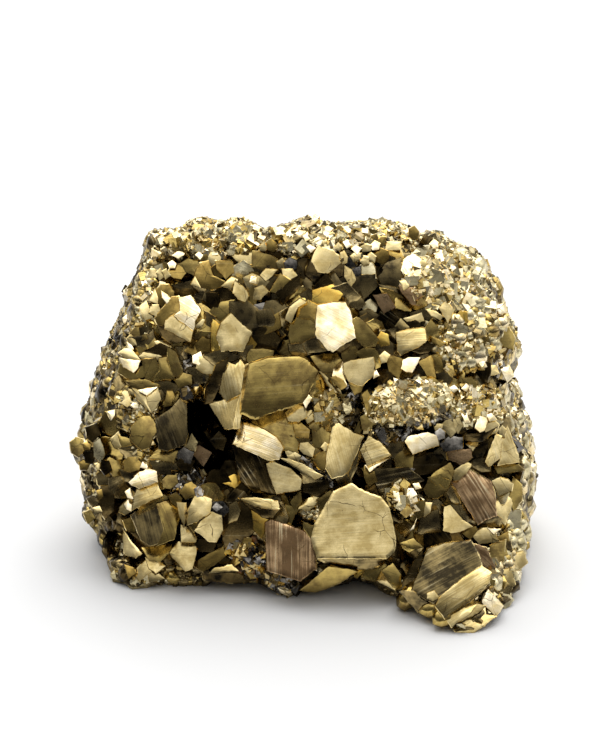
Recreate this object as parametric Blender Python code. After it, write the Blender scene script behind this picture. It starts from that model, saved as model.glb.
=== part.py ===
"""A hand-size specimen of pyrite: one intergrown mass of brassy crystals, broken open at the front.

The piece is a lumpy mass, lofted through rings of its outline, and the crystals that grow from it.
Each large crystal is a block: its front face is drawn on a sketch sheet, tilted and lifted off the
mass, and the block runs straight back from that face. Cubes of one to four millimetres cover the
rim, the sides and the back. All of it is joined into one solid and cut flat where it stands.

Units are metres, +Z is up, the broken front faces -Y, and the origin is under the middle.
"""

import math
import random

import bmesh
import bpy
import numpy as np
from mathutils import Euler, Vector, noise

MM = 0.001

# The sketch sheet. It stands in front of the specimen, leaning back so that it faces a viewer who
# looks down on it. Its steps run right and down from its top left corner.
SHEET_STEP = 0.14 * MM
SHEET_MIDDLE = (300.0, 372.0)
VIEW_DISTANCE = 289.3 * MM
VIEW_FALL = math.radians(22.0)
SHEET_CENTRE = Vector((-0.75 * MM, -2.34 * MM, 28.04 * MM))

RIGHT = Vector((1.0, 0.0, 0.0))
UP = Vector((0.0, math.sin(VIEW_FALL), math.cos(VIEW_FALL)))
AHEAD = Vector((0.0, math.cos(VIEW_FALL), -math.sin(VIEW_FALL)))
EYE = SHEET_CENTRE - AHEAD * VIEW_DISTANCE

# The mass: its outline on the sheet, and how far it stands before and behind the sheet.
OUTLINE = [
    (150, 231), (167, 228), (177, 231), (190, 222), (203, 218), (218, 221), (233, 217), (247, 221),
    (262, 229), (280, 229), (297, 221), (315, 217), (328, 226), (350, 223), (385, 221), (410, 227),
    (421, 234), (437, 232), (457, 245), (473, 249), (487, 261), (492, 275), (500, 286), (503, 303),
    (512, 320), (521, 344), (516, 364), (513, 378), (521, 394), (519, 403), (532, 422), (530, 433),
    (534, 458), (537, 480), (529, 520), (528, 552), (519, 567), (512, 597), (500, 614), (476, 632),
    (456, 632), (435, 620), (412, 604), (381, 590), (356, 578), (323, 589), (301, 590), (287, 597),
    (260, 582), (238, 580), (200, 581), (169, 579), (153, 586), (133, 588), (113, 581), (106, 560),
    (105, 546), (85, 519), (83, 492), (82, 470), (71, 450), (82, 427), (85, 410), (93, 387),
    (103, 351), (120, 320), (125, 291), (135, 279), (144, 248),
]
HEART = (305.0, 425.0)
GIRTH_RELIEF = -14.0 * MM
BACK_RELIEF = -26.0 * MM
FRONT_RINGS = [(0.2, -6.0), (0.4, -6.0), (0.58, -6.0), (0.74, -5.0), (0.86, -2.2), (0.94, -1.0)]
BACK_RINGS = [0.97, 0.88, 0.74, 0.56, 0.36, 0.16]
LUMPS = [(1.0 * MM, 6.0 * MM), (1.6 * MM, 13.0 * MM)]  # height and size of the mass's lumps

# Hollows in the broken front: centre on the sheet, radius in steps, depth in millimetres.
HOLLOWS = [
    (218, 440, 42, 7.0), (205, 405, 20, 4.0), (183, 275, 16, 3.5), (283, 338, 14, 4.0),
    (376, 300, 18, 4.5), (305, 492, 22, 5.0), (360, 480, 24, 4.0), (430, 470, 30, 3.5),
    (470, 445, 18, 4.0), (410, 560, 22, 3.0), (210, 552, 16, 3.0), (98, 505, 24, 2.5),
]

# Large crystals: name, lift in millimetres over the mass's front, lean of the face to the right and
# upwards in degrees, and the face's corners on the sheet.
CRYSTALS = [
    # upper left
    ("gold wing", 0.6, -15, 12, [(155, 318), (163, 309), (172, 298), (178, 297), (181, 311), (172, 316),
                                 (163, 324), (159, 326)]),
    ("white wing", 1.0, 5, 32, [(180, 299), (190, 297), (199, 308), (200, 311), (194, 321), (193, 328),
                                (175, 315), (181, 311)]),
    ("pale wing", 0.9, 0, 18, [(166, 321), (175, 315), (193, 328), (190, 341), (165, 328)]),
    ("wing underside", -0.2, 0, -14, [(158, 326), (165, 328), (190, 341), (170, 342), (163, 336)]),
    ("high gold", 0.2, -5, 12, [(200, 264), (208, 262), (212, 276), (228, 283), (212, 289), (203, 287),
                                (195, 280), (196, 272)]),
    ("high tan", -0.4, 8, 14, [(217, 262), (230, 262), (233, 266), (232, 272), (226, 277), (218, 268)]),
    ("fin hollow", -1.4, 0, -6, [(217, 295), (222, 288), (232, 290), (240, 299), (234, 301),
                                 (218, 298)]),
    ("olive slope", -0.8, 10, 4, [(255, 254), (270, 257), (276, 262), (283, 270), (279, 277),
                                  (268, 269), (255, 265)]),
    ("rim gold", 0.2, -12, 14, [(157, 290), (161, 285), (168, 285), (173, 292), (172, 298), (163, 307),
                                (157, 300)]),
    ("shaded gold", -1.4, -8, 8, [(213, 312), (218, 306), (232, 303), (232, 312), (222, 320),
                                  (215, 318)]),
    ("pale plate", 0.6, 0, 20, [(231, 314), (243, 326), (251, 332), (243, 350), (222, 350), (217, 336),
                                (222, 323)]),
    ("dark prism", -1.3, -20, -4, [(208, 296), (215, 296), (216, 299), (213, 312), (203, 318),
                                   (201, 308)]),
    ("honey edge", -0.3, -22, 8, [(212, 320), (218, 325), (221, 343), (221, 350), (212, 352)]),
    ("dark slope", -0.8, 14, -4, [(232, 304), (246, 303), (256, 310), (265, 320), (250, 331),
                                  (243, 326), (232, 312)]),
    ("dark floor", -2.0, 5, -6, [(251, 332), (268, 330), (277, 340), (272, 350), (250, 350)]),
    # upper middle
    ("cracked leaf", 0.1, 5, 20, [(318, 247), (331, 251), (338, 256), (340, 262), (328, 272),
                                  (319, 271), (312, 260)]),
    ("honey cap", -0.9, 0, 10, [(315, 292), (332, 287), (340, 294), (333, 304), (320, 306), (315, 301)]),
    ("white tablet", 1.5, 4, 30, [(318, 306), (333, 303), (345, 303), (350, 312), (355, 337),
                                  (345, 342), (333, 350), (328, 349), (316, 335), (317, 322)]),
    ("gold neighbour", 0.4, -12, 12, [(297, 306), (308, 301), (318, 306), (317, 323), (310, 318),
                                      (297, 317)]),
    ("neighbour foot", -0.2, -10, 2, [(291, 325), (297, 318), (306, 318), (316, 323), (316, 335),
                                      (303, 341), (291, 343), (289, 335)]),
    ("gold foot", -0.5, 0, -4, [(303, 341), (316, 335), (323, 342), (325, 350), (308, 352)]),
    ("block right", -0.3, 20, -6, [(277, 293), (290, 281), (299, 276), (299, 285), (284, 302)]),
    ("grey grain", -0.9, 0, 14, [(361, 268), (366, 263), (371, 264), (374, 277), (365, 280),
                                 (358, 278)]),
    ("grey grain foot", -1.3, 5, -2, [(353, 282), (362, 279), (372, 278), (374, 285), (362, 297),
                                      (358, 292)]),
    ("slanting prism", 0.3, 18, 6, [(350, 322), (357, 318), (363, 322), (379, 340), (376, 345),
                                    (366, 347), (355, 337)]),
    ("dark lozenge", -1.4, -10, -4, [(380, 278), (387, 266), (398, 262), (401, 272), (397, 286),
                                     (391, 288)]),
    # upper right
    ("striped white", 0.2, 6, 30, [(402, 270), (405, 260), (409, 257), (417, 265), (412, 272),
                                   (408, 279)]),
    ("pink lens", -0.2, 8, 6, [(400, 286), (412, 288), (428, 296), (430, 299), (427, 305), (413, 304),
                               (403, 293)]),
    ("pale block", 0.8, -4, 18, [(397, 333), (410, 330), (424, 328), (426, 340), (419, 346),
                                 (401, 353), (398, 350)]),
    ("block side", 0.0, 30, 0, [(425, 330), (432, 321), (440, 330), (430, 341), (425, 337)]),
    ("tan chip", 0.2, 15, 12, [(420, 362), (431, 356), (435, 376), (428, 375)]),
    ("gold chip", 0.0, -6, 8, [(386, 357), (395, 357), (403, 360), (402, 368), (398, 377), (390, 371)]),
    # left
    ("left gold", -0.2, -14, 2, [(120, 365), (130, 371), (142, 367), (145, 376), (133, 380),
                                 (119, 372)]),
    ("left shade", -0.8, 0, -4, [(146, 351), (160, 346), (169, 350), (169, 355), (160, 358),
                                 (152, 353)]),
    ("left bronze", -0.2, -16, 4, [(142, 360), (155, 359), (160, 371), (153, 379), (146, 378)]),
    ("left olive", 0.1, 0, 4, [(160, 359), (168, 357), (174, 378), (153, 380), (160, 371)]),
    ("left edge", 0.0, 24, 4, [(169, 349), (175, 352), (182, 370), (178, 376), (174, 375), (168, 357)]),
    ("left lens", -0.2, -4, 4, [(125, 381), (145, 380), (158, 385), (155, 388), (139, 390),
                                (131, 386)]),
    ("left fang side", 0.5, 16, 16, [(147, 394), (157, 387), (160, 398), (156, 406), (152, 411),
                                     (149, 405)]),
    ("olive pentagon", 0.6, -14, 6, [(132, 428), (142, 416), (150, 416), (157, 428), (148, 447),
                                     (142, 449), (131, 440)]),
    ("olive shield", 0.3, 10, 0, [(157, 419), (171, 409), (180, 399), (186, 405), (187, 434),
                                  (185, 443), (168, 450), (160, 448), (158, 437)]),
    ("pentagon foot", -0.5, -6, -8, [(121, 450), (142, 450), (150, 453), (140, 457), (127, 457)]),
    ("shield foot", -0.4, 4, 4, [(151, 457), (158, 451), (176, 452), (173, 461), (163, 459)]),
    ("shield base", -1.2, 4, -6, [(153, 461), (173, 462), (174, 467), (168, 471), (158, 471)]),
    ("gold hexagon", 0.0, -10, 10, [(124, 463), (128, 458), (136, 457), (141, 463), (138, 469),
                                    (131, 471), (125, 470)]),
    # lower left
    ("white terrace", 0.7, -6, 30, [(130, 482), (139, 473), (149, 469), (156, 472), (157, 481),
                                    (139, 487), (132, 484)]),
    ("pale terrace", 1.0, -6, 16, [(139, 487), (156, 482), (162, 495), (133, 508), (135, 496)]),
    ("striped shield", 1.0, -8, -2, [(132, 516), (141, 508), (158, 504), (162, 511), (165, 530),
                                     (158, 543), (150, 545), (142, 540), (135, 523)]),
    ("shield flank", 0.8, 16, 2, [(158, 504), (171, 499), (178, 507), (179, 516), (174, 538),
                                  (159, 544), (165, 530)]),
    ("dark scoop", -0.6, -20, -8, [(127, 531), (136, 534), (148, 545), (140, 552), (131, 546)]),
    ("pale crescent", 0.4, -18, 14, [(123, 529), (130, 541), (140, 553), (135, 557), (125, 553)]),
    ("lower lens", 0.1, 0, 2, [(143, 548), (171, 545), (168, 553), (159, 561), (150, 560)]),
    ("upper plate", 0.9, 2, 16, [(195, 497), (203, 496), (211, 499), (210, 512), (196, 521),
                                 (188, 523), (189, 511)]),
    ("lower plate", 1.2, 4, 18, [(196, 530), (201, 522), (211, 512), (221, 516), (222, 530),
                                 (216, 541), (210, 541)]),
    ("tan plate", 0.3, 4, 10, [(182, 526), (190, 529), (196, 538), (195, 541), (182, 541)]),
    ("gold tooth", 1.3, 0, 16, [(179, 542), (196, 542), (195, 556), (192, 568), (185, 570), (178, 562),
                                (170, 553)]),
    ("gold roof", 0.2, -6, 4, [(193, 564), (223, 547), (225, 555), (216, 563), (203, 571)]),
    ("foot crystal", 0.3, -14, 12, [(134, 573), (140, 566), (146, 560), (150, 571), (143, 577),
                                    (139, 580)]),
    # middle
    ("prism shade", -0.4, -34, 0, [(226, 360), (222, 378), (210, 402), (205, 403), (206, 390),
                                   (217, 365)]),
    ("upper prism", 0.8, -6, 16, [(226, 362), (236, 366), (240, 360), (244, 365), (240, 393),
                                  (226, 400), (220, 392)]),
    ("lower prism", 0.8, -10, 16, [(210, 404), (226, 400), (240, 393), (238, 410), (233, 428),
                                   (225, 428)]),
    ("prism edge", 0.9, 20, 14, [(244, 366), (249, 364), (244, 395), (238, 428), (233, 428),
                                 (241, 393)]),
    ("prism roof", -0.3, -4, -4, [(205, 356), (222, 350), (240, 357), (217, 366), (211, 362)]),
    ("great olive", 1.2, 6, 3, [(250, 364), (268, 358), (300, 356), (308, 360), (318, 371), (307, 395),
                                (303, 402), (270, 412), (255, 418), (242, 412), (246, 390)]),
    ("great flank", 0.0, 34, -2, [(312, 388), (318, 371), (330, 386), (317, 402), (310, 400)]),
    ("striped roof", 1.0, 4, 28, [(241, 421), (252, 424), (277, 438), (283, 447), (279, 457),
                                  (268, 459), (247, 449), (234, 442), (238, 432)]),
    ("roof shade", -1.2, -10, -8, [(234, 445), (246, 452), (262, 470), (275, 492), (255, 490),
                                   (243, 478)]),
    ("roof flank", -0.4, 6, -4, [(252, 458), (262, 456), (267, 464), (277, 493), (262, 490)]),
    ("pale kite", 0.8, 6, 16, [(267, 464), (272, 462), (290, 469), (301, 480), (300, 489), (277, 493),
                               (272, 480)]),
    ("pale wedge", 0.6, -4, 24, [(239, 498), (252, 498), (277, 501), (279, 508), (268, 508),
                                 (255, 505)]),
    ("wedge foot", -0.6, 0, -6, [(243, 503), (278, 509), (271, 517), (263, 516)]),
    ("small pale", 0.0, -6, 16, [(286, 412), (295, 405), (305, 408), (306, 416), (298, 421),
                                 (289, 420)]),
    ("cave hexagon", -3.0, -8, 0, [(213, 473), (222, 473), (227, 482), (222, 487), (216, 487),
                                   (209, 480)]),
    ("cave plate", -3.2, 6, -4, [(222, 473), (227, 464), (237, 464), (239, 474), (233, 480),
                                 (227, 481)]),
    ("green tablet", 0.8, 6, 16, [(344, 364), (352, 361), (373, 358), (374, 366), (372, 376),
                                  (362, 385), (349, 381), (344, 370)]),
    ("gold drop", 0.2, -4, 10, [(317, 402), (333, 390), (341, 405), (333, 420), (325, 425),
                                (320, 415)]),
    ("pale lance", 1.2, -2, 17, [(333, 425), (338, 423), (353, 433), (362, 437), (355, 455), (349, 470),
                                 (342, 475), (332, 477), (326, 468), (328, 452), (332, 432)]),
    ("lance flank", 0.2, -24, 6, [(311, 459), (326, 450), (327, 468), (318, 469)]),
    ("striped tile", 0.7, 4, 18, [(361, 450), (369, 437), (380, 442), (390, 454), (368, 464)]),
    ("tile shade", -0.8, 4, -6, [(372, 471), (408, 470), (420, 480), (400, 488), (382, 492)]),
    ("pale brick", 1.0, 0, 18, [(406, 441), (408, 437), (428, 433), (436, 436), (438, 444),
                                (413, 453)]),
    # lower middle
    ("great pale", 2.2, 0, 15, [(334, 492), (351, 484), (365, 492), (380, 497), (388, 507), (391, 517),
                                (395, 542), (394, 551), (386, 558), (318, 558), (312, 540), (315, 525)]),
    ("great underside", 1.0, 0, -16, [(317, 559), (386, 558), (381, 565), (365, 569), (344, 566),
                                      (327, 563)]),
    ("low wedge", 1.6, -8, 12, [(301, 590), (328, 568), (348, 570), (356, 572), (340, 582), (323, 589),
                                (313, 591)]),
    ("low olive", 1.2, 10, 8, [(383, 571), (393, 564), (400, 575), (401, 586), (396, 590)]),
    ("brown shield", 1.8, -6, 2, [(266, 523), (270, 520), (303, 531), (311, 538), (315, 560),
                                  (315, 568), (300, 580), (281, 574), (268, 570)]),
    ("cave olive", -0.8, -10, -4, [(228, 505), (241, 505), (250, 513), (252, 530), (240, 543),
                                   (226, 545), (224, 535)]),
    ("honey wedge", -0.2, 8, 8, [(252, 511), (262, 518), (268, 520), (266, 527), (262, 537),
                                 (255, 530)]),
    # right
    ("grey lump", 0.2, 0, 8, [(441, 444), (450, 436), (462, 438), (462, 448), (452, 450), (444, 450)]),
    ("brown kite", 0.2, 0, 6, [(447, 450), (470, 450), (472, 457), (461, 464), (450, 459)]),
    ("cube top", 0.3, -6, 10, [(430, 477), (438, 471), (450, 464), (453, 470), (451, 479), (441, 475)]),
    ("cube right", 0.2, 12, 2, [(430, 478), (441, 475), (451, 479), (446, 491), (436, 484)]),
    ("cube left", 0.0, -12, -4, [(424, 490), (430, 478), (446, 491), (438, 497), (429, 497)]),
    ("purple shield", 1.0, 12, 0, [(452, 481), (461, 477), (470, 470), (474, 472), (490, 482),
                                   (494, 493), (496, 515), (486, 518), (479, 523)]),
    ("shield sill", 0.2, 4, -12, [(479, 523), (486, 519), (497, 517), (504, 522), (498, 526),
                                  (480, 527)]),
    ("right pale", 0.4, 16, 16, [(493, 481), (500, 478), (507, 480), (512, 484), (511, 490),
                                 (500, 494)]),
    ("right green", 0.3, 20, 14, [(496, 495), (512, 495), (511, 505), (505, 522), (497, 515)]),
    ("right pillar", 0.6, -6, 14, [(486, 462), (496, 435), (501, 437), (499, 457), (489, 466)]),
    ("right tent", 0.4, 14, 16, [(502, 437), (507, 427), (517, 454), (518, 461), (499, 464),
                                 (500, 452)]),
    ("right sill", -0.2, 10, -4, [(495, 466), (518, 465), (523, 470), (498, 473)]),
    ("pale triangle", 0.4, -2, 16, [(445, 507), (450, 506), (463, 521), (471, 526), (459, 531),
                                    (451, 532), (444, 530)]),
    ("brown panel", -0.6, -4, -2, [(423, 516), (437, 512), (439, 530), (420, 532)]),
    ("olive slat", -0.2, -10, 4, [(413, 502), (424, 502), (424, 514), (415, 520), (411, 519)]),
    ("tan kite", 0.4, 4, 12, [(473, 536), (480, 529), (487, 528), (495, 535), (498, 541), (480, 543)]),
    ("brown strip", 0.6, 24, 4, [(471, 543), (486, 549), (495, 569), (489, 572), (481, 565)]),
    ("right flank", 0.2, 22, 10, [(491, 546), (505, 541), (503, 560), (497, 569), (492, 558)]),
    # front corner
    ("corner shield", 1.4, -4, -2, [(428, 549), (440, 545), (470, 541), (478, 555), (481, 565),
                                    (441, 598), (434, 603), (412, 590), (421, 567)]),
    ("corner pale", 1.7, 0, 16, [(481, 567), (490, 573), (488, 583), (470, 598), (445, 617),
                                 (436, 606), (442, 596), (460, 581)]),
    ("corner band", 1.4, 0, 18, [(446, 617), (470, 600), (476, 603), (470, 612), (452, 625)]),
    ("corner toe", 0.9, 2, 12, [(452, 625), (470, 611), (485, 603), (485, 615), (495, 616),
                                (484, 625), (474, 631), (465, 631), (456, 631)]),
    ("corner white", 1.2, 10, 30, [(484, 594), (488, 591), (502, 606), (496, 615), (483, 602)]),
    ("corner wall", 0.2, -36, -6, [(400, 588), (414, 562), (422, 550), (421, 567), (412, 590)]),
    ("corner keel", 0.6, -14, -20, [(401, 592), (412, 592), (446, 618), (452, 626), (444, 623),
                                    (419, 612)]),
]
BLOCK_REACH = 12.0 * MM
BLOCK_TAPER = 0.94
BLOCK_LAP = 0.5  # steps by which a block reaches under its neighbours

# Patches of small crystals in the front: corners of a box on the sheet, count, edge in millimetres,
# and lift in millimetres.
PATCHES = [
    (362, 380, 450, 424, 17, 2.6, -0.4), (386, 482, 420, 520, 5, 2.2, 0.6), (230, 542, 274, 584, 8, 2.2, 0.2),
    (262, 574, 300, 592, 5, 2.0, 0.8), (122, 560, 175, 584, 5, 2.2, -0.4), (120, 298, 152, 346, 5, 2.2, -0.6),
    (305, 498, 332, 522, 4, 2.2, 0.4), (450, 385, 500, 430, 9, 2.4, 0.2), (440, 330, 500, 385, 9, 2.4, -0.6),
]
CRUST_COUNT = 120
CRUST_EDGES = (2.2 * MM, 7.5 * MM)
SEED = 24
FOOT_LEVEL = 0.15 * MM  # what is lower than this lies in the flat foot
FACES_KEPT = 0.64  # share of the joined solid's triangles that carry its shape


def cast(x, y):
    """Direction from the eye through a place on the sheet, one sheet distance long."""
    across = (x - SHEET_MIDDLE[0]) * SHEET_STEP
    above = (SHEET_MIDDLE[1] - y) * SHEET_STEP
    return AHEAD + RIGHT * (across / VIEW_DISTANCE) + UP * (above / VIEW_DISTANCE)


def place(x, y, relief):
    """Point seen at a place on the sheet, at a relief towards the eye."""
    return EYE + cast(x, y) * (VIEW_DISTANCE - relief)


def floor_relief(y):
    """Relief at which a row of the sheet meets the surface that the specimen stands on."""
    drop = (y - SHEET_MIDDLE[1]) * SHEET_STEP * math.cos(VIEW_FALL)
    return (drop - SHEET_CENTRE.z) / (math.sin(VIEW_FALL) + drop / VIEW_DISTANCE)


def front_relief(x, y):
    """Relief of the broken front: a dome that comes forward downwards and at the right corner."""
    across, down = (x - HEART[0]) / 225.0, (y - 410.0) / 190.0
    edge = min((across * across + down * down) ** 2, 1.0)
    corner = math.exp(-((x - 455.0) ** 2 + (y - 595.0) ** 2) / (2 * 42.0 ** 2))
    return (4.0 - 6.0 * edge + 3.0 * down + 9.5 * corner) * MM


def hollow_depth(x, y):
    """Depth of the hollows at a place on the sheet."""
    depth = 0.0
    for centre_x, centre_y, radius, deep in HOLLOWS:
        away = math.hypot(x - centre_x, y - centre_y) / radius
        depth += deep * MM * math.exp(-away * away)
    return depth


def girth_relief(x, y):
    """Relief of the outline: well back at the top and sides, and forward to the foot below."""
    down = (y - HEART[1]) / math.hypot(x - HEART[0], y - HEART[1])
    resting = floor_relief(y) if y > SHEET_MIDDLE[1] else GIRTH_RELIEF
    return max(GIRTH_RELIEF * (1.0 - max(down, 0.0) ** 1.5), resting)


def softened(outline, rounds):
    """The outline with its points drawn towards their neighbours, round after round."""
    for _ in range(rounds):
        outline = [((outline[i - 1][0] + 2 * x + outline[(i + 1) % len(outline)][0]) / 4,
                    (outline[i - 1][1] + 2 * y + outline[(i + 1) % len(outline)][1]) / 4)
                   for i, (x, y) in enumerate(outline)]
    return outline


def lump(point):
    """Height of the mass's lumps at a point."""
    return sum(height * 2.0 * noise.noise(point / size) for height, size in LUMPS)


def ring(scale, relief_of, outline=OUTLINE):
    """Points of one ring of the mass: the outline scaled about its heart, at a relief."""
    points = []
    middle = place(*HEART, GIRTH_RELIEF)
    for x, y in outline:
        ring_x = HEART[0] + (x - HEART[0]) * scale
        ring_y = HEART[1] + (y - HEART[1]) * scale
        point = place(ring_x, ring_y, relief_of(x, y, ring_x, ring_y))
        points.append(point + (point - middle).normalized() * lump(point) * (1.0 - scale ** 6))
    return points


def front_ring(scale, inset):
    """A ring of the front: under the crystals by its inset, sunk by the hollows."""
    blend = max(0.0, (scale - 0.86) / 0.14)

    def relief_of(x, y, ring_x, ring_y):
        face = front_relief(ring_x, ring_y) + inset * MM - hollow_depth(ring_x, ring_y)
        return face * (1.0 - blend) + girth_relief(x, y) * blend

    return ring(scale, relief_of)


def back_ring(scale):
    """A ring of the back, on a rounded profile from the outline to the rearmost point."""
    bulge = (1.0 - scale ** 2.6) ** 0.5

    def relief_of(x, y, ring_x, ring_y):
        girth = min(girth_relief(x, y), GIRTH_RELIEF * 0.2) if scale < 0.9 else girth_relief(x, y)
        return girth + (BACK_RELIEF - girth) * bulge

    return ring(scale, relief_of, softened(OUTLINE, round(24 * (1.0 - scale))))


def make_mass():
    """The lumpy mass: rings from the front pole over the outline to the back pole."""
    rings = [front_ring(scale, inset) for scale, inset in FRONT_RINGS]
    rings.append(ring(1.0, lambda x, y, ring_x, ring_y: girth_relief(x, y)))
    rings += [back_ring(scale) for scale in BACK_RINGS]
    front_pole = place(*HEART, front_relief(*HEART) + FRONT_RINGS[0][1] * MM)
    back_pole = place(*HEART, BACK_RELIEF)
    points = [point for loop in rings for point in loop] + [front_pole, back_pole]
    count = len(OUTLINE)
    faces = []
    for row in range(len(rings) - 1):
        for i in range(count):
            j = (i + 1) % count
            near, far = row * count, (row + 1) * count
            faces.append((near + i, near + j, far + j, far + i))
    last = (len(rings) - 1) * count
    for i in range(count):
        j = (i + 1) % count
        faces.append((len(points) - 2, j, i))
        faces.append((len(points) - 1, last + i, last + j))
    mesh = bpy.data.meshes.new("mass")
    mesh.from_pydata(points, [], faces)
    shell = bmesh.new()
    shell.from_mesh(mesh)
    bmesh.ops.triangulate(shell, faces=shell.faces[:])
    bmesh.ops.recalc_face_normals(shell, faces=shell.faces[:])
    shell.to_mesh(mesh)
    shell.free()
    return mesh, rings


def add_hull(body, points):
    """Add the convex block through some points to a bmesh."""
    block = bmesh.new()
    for point in points:
        block.verts.new(point)
    bmesh.ops.convex_hull(block, input=block.verts[:])
    loose = [vert for vert in block.verts if not vert.link_faces]
    bmesh.ops.delete(block, geom=loose, context="VERTS")
    bmesh.ops.dissolve_limit(block, angle_limit=0.001, verts=block.verts[:], edges=block.edges[:])
    bmesh.ops.recalc_face_normals(block, faces=block.faces[:])
    scratch = bpy.data.meshes.new("block")
    block.to_mesh(scratch)
    block.free()
    body.from_mesh(scratch)
    bpy.data.meshes.remove(scratch)


def add_block(body, lift, right, up, corners, chance):
    """Add one large crystal: its tilted front face and the block behind it."""
    middle_x = sum(x for x, y in corners) / len(corners)
    middle_y = sum(y for x, y in corners) / len(corners)
    middle = place(middle_x, middle_y, front_relief(middle_x, middle_y) + lift * MM)
    facing = RIGHT * math.tan(math.radians(right)) + UP * math.tan(math.radians(up)) - AHEAD
    reach = BLOCK_REACH * chance.uniform(0.85, 1.15)
    points = []
    for x, y in corners:
        away = math.hypot(x - middle_x, y - middle_y)
        spread = 1.0 + BLOCK_LAP * chance.uniform(0.6, 1.4) / away
        sight = cast(middle_x + (x - middle_x) * spread, middle_y + (y - middle_y) * spread)
        span = facing.dot(middle - EYE) / facing.dot(sight)
        narrow = cast(middle_x + (x - middle_x) * BLOCK_TAPER, middle_y + (y - middle_y) * BLOCK_TAPER)
        points.append(EYE + sight * span)
        points.append(EYE + narrow * (VIEW_DISTANCE - front_relief(middle_x, middle_y) + reach))
    add_hull(body, points)


def add_cube(body, centre, edge, chance):
    """Add one small crystal: a cube with uneven edges, turned any way."""
    half = [edge * chance.uniform(0.4, 0.62) for _ in range(3)]
    turn = Euler([chance.uniform(0.0, math.tau) for _ in range(3)]).to_matrix()
    signs = [(i, j, k) for i in (-1, 1) for j in (-1, 1) for k in (-1, 1)]
    add_hull(body, [centre + turn @ Vector([s * h for s, h in zip(sign, half)]) for sign in signs])


def add_patches(body, chance):
    """Add the patches of small crystals in the broken front."""
    for left, top, right, bottom, count, edge, lift in PATCHES:
        for _ in range(count):
            x, y = chance.uniform(left, right), chance.uniform(top, bottom)
            size = edge * chance.uniform(0.8, 1.5) * MM
            relief = front_relief(x, y) + (lift + chance.uniform(-0.8, 0.3)) * MM
            add_cube(body, place(x, y, relief - 0.5 * size), size, chance)


def add_crust(body, rings, chance):
    """Add the cubes that cover the rim, the sides and the back of the mass."""
    count = len(OUTLINE)
    first = len(FRONT_RINGS) - 2
    girths = [1.0] * 4 + [scale * scale for scale in BACK_RINGS]
    rows = range(first, len(rings) - 1)
    for row in chance.choices(rows, [girths[row - first] for row in rows], k=CRUST_COUNT):
        i = chance.randrange(count)
        a, b = rings[row][i], rings[row][(i + 1) % count]
        c, d = rings[row + 1][i], rings[row + 1][(i + 1) % count]
        s, t = chance.random(), chance.random()
        spot = a.lerp(b, s).lerp(c.lerp(d, s), t)
        behind = (row - first) / (len(rings) - first)
        edge = CRUST_EDGES[0] + (CRUST_EDGES[1] - CRUST_EDGES[0]) * behind * chance.uniform(0.4, 1.0)
        inward = (place(*HEART, GIRTH_RELIEF * 0.7) - spot).normalized()
        add_cube(body, spot + inward * edge * (0.42 - 0.2 * behind), edge, chance)


def make_growth(rings):
    """Every crystal of the specimen, as blocks that still pass through each other."""
    chance = random.Random(SEED)
    body = bmesh.new()
    for name, lift, right, up, corners in CRYSTALS:
        add_block(body, lift, right, up, corners, chance)
    add_patches(body, chance)
    add_crust(body, rings, chance)
    mesh = bpy.data.meshes.new("growth")
    body.to_mesh(mesh)
    body.free()
    return mesh


def make_ground():
    """A slab below the standing plane, which cuts the specimen flat."""
    slab = bmesh.new()
    bmesh.ops.create_cube(slab, size=1.0)
    bmesh.ops.scale(slab, vec=(200 * MM, 200 * MM, 60 * MM), verts=slab.verts[:])
    bmesh.ops.translate(slab, vec=(0.0, 0.0, -30 * MM), verts=slab.verts[:])
    mesh = bpy.data.meshes.new("ground")
    slab.to_mesh(mesh)
    slab.free()
    return mesh


def add_object(name, mesh, collection):
    """Put a mesh into the scene as a named object."""
    thing = bpy.data.objects.new(name, mesh)
    collection.objects.link(thing)
    return thing


def hide_cutter(cutter):
    """Mark an object as one that only shapes others."""
    cutter.hide_render = True
    cutter.display_type = "WIRE"


def combine(thing, other, operation):
    """Join another object to a thing, or cut it away, with the exact solver."""
    step = thing.modifiers.new(operation.lower(), "BOOLEAN")
    step.operation = operation
    step.object = other
    step.solver = "EXACT"
    step.use_self = operation == "UNION"


def outer_shell(mesh):
    """Keep the largest shell of a mesh, so that no sealed hollow stays inside, and level its foot."""
    body = bmesh.new()
    body.from_mesh(mesh)
    for vert in body.verts:
        if vert.co.z < FOOT_LEVEL:
            vert.co.z = 0.0
    bmesh.ops.triangulate(body, faces=body.faces[:])
    seen, shells = set(), []
    for start in body.faces:
        if start in seen:
            continue
        shell, stack = [], [start]
        seen.add(start)
        while stack:
            face = stack.pop()
            shell.append(face)
            for edge in face.edges:
                for other in edge.link_faces:
                    if other not in seen:
                        seen.add(other)
                        stack.append(other)
        shells.append(shell)
    shells.sort(key=len)
    for shell in shells[:-1]:
        bmesh.ops.delete(body, geom=shell, context="FACES")
    body.to_mesh(mesh)
    body.free()


def pyrite_material():
    """Pale brass-yellow metal, a little dulled."""
    material = bpy.data.materials.new("pyrite")
    material.use_nodes = True
    shader = material.node_tree.nodes["Principled BSDF"]
    shader.inputs["Base Color"].default_value = (0.55, 0.46, 0.26, 1.0)
    shader.inputs["Metallic"].default_value = 1.0
    shader.inputs["Roughness"].default_value = 0.3
    return material


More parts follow.
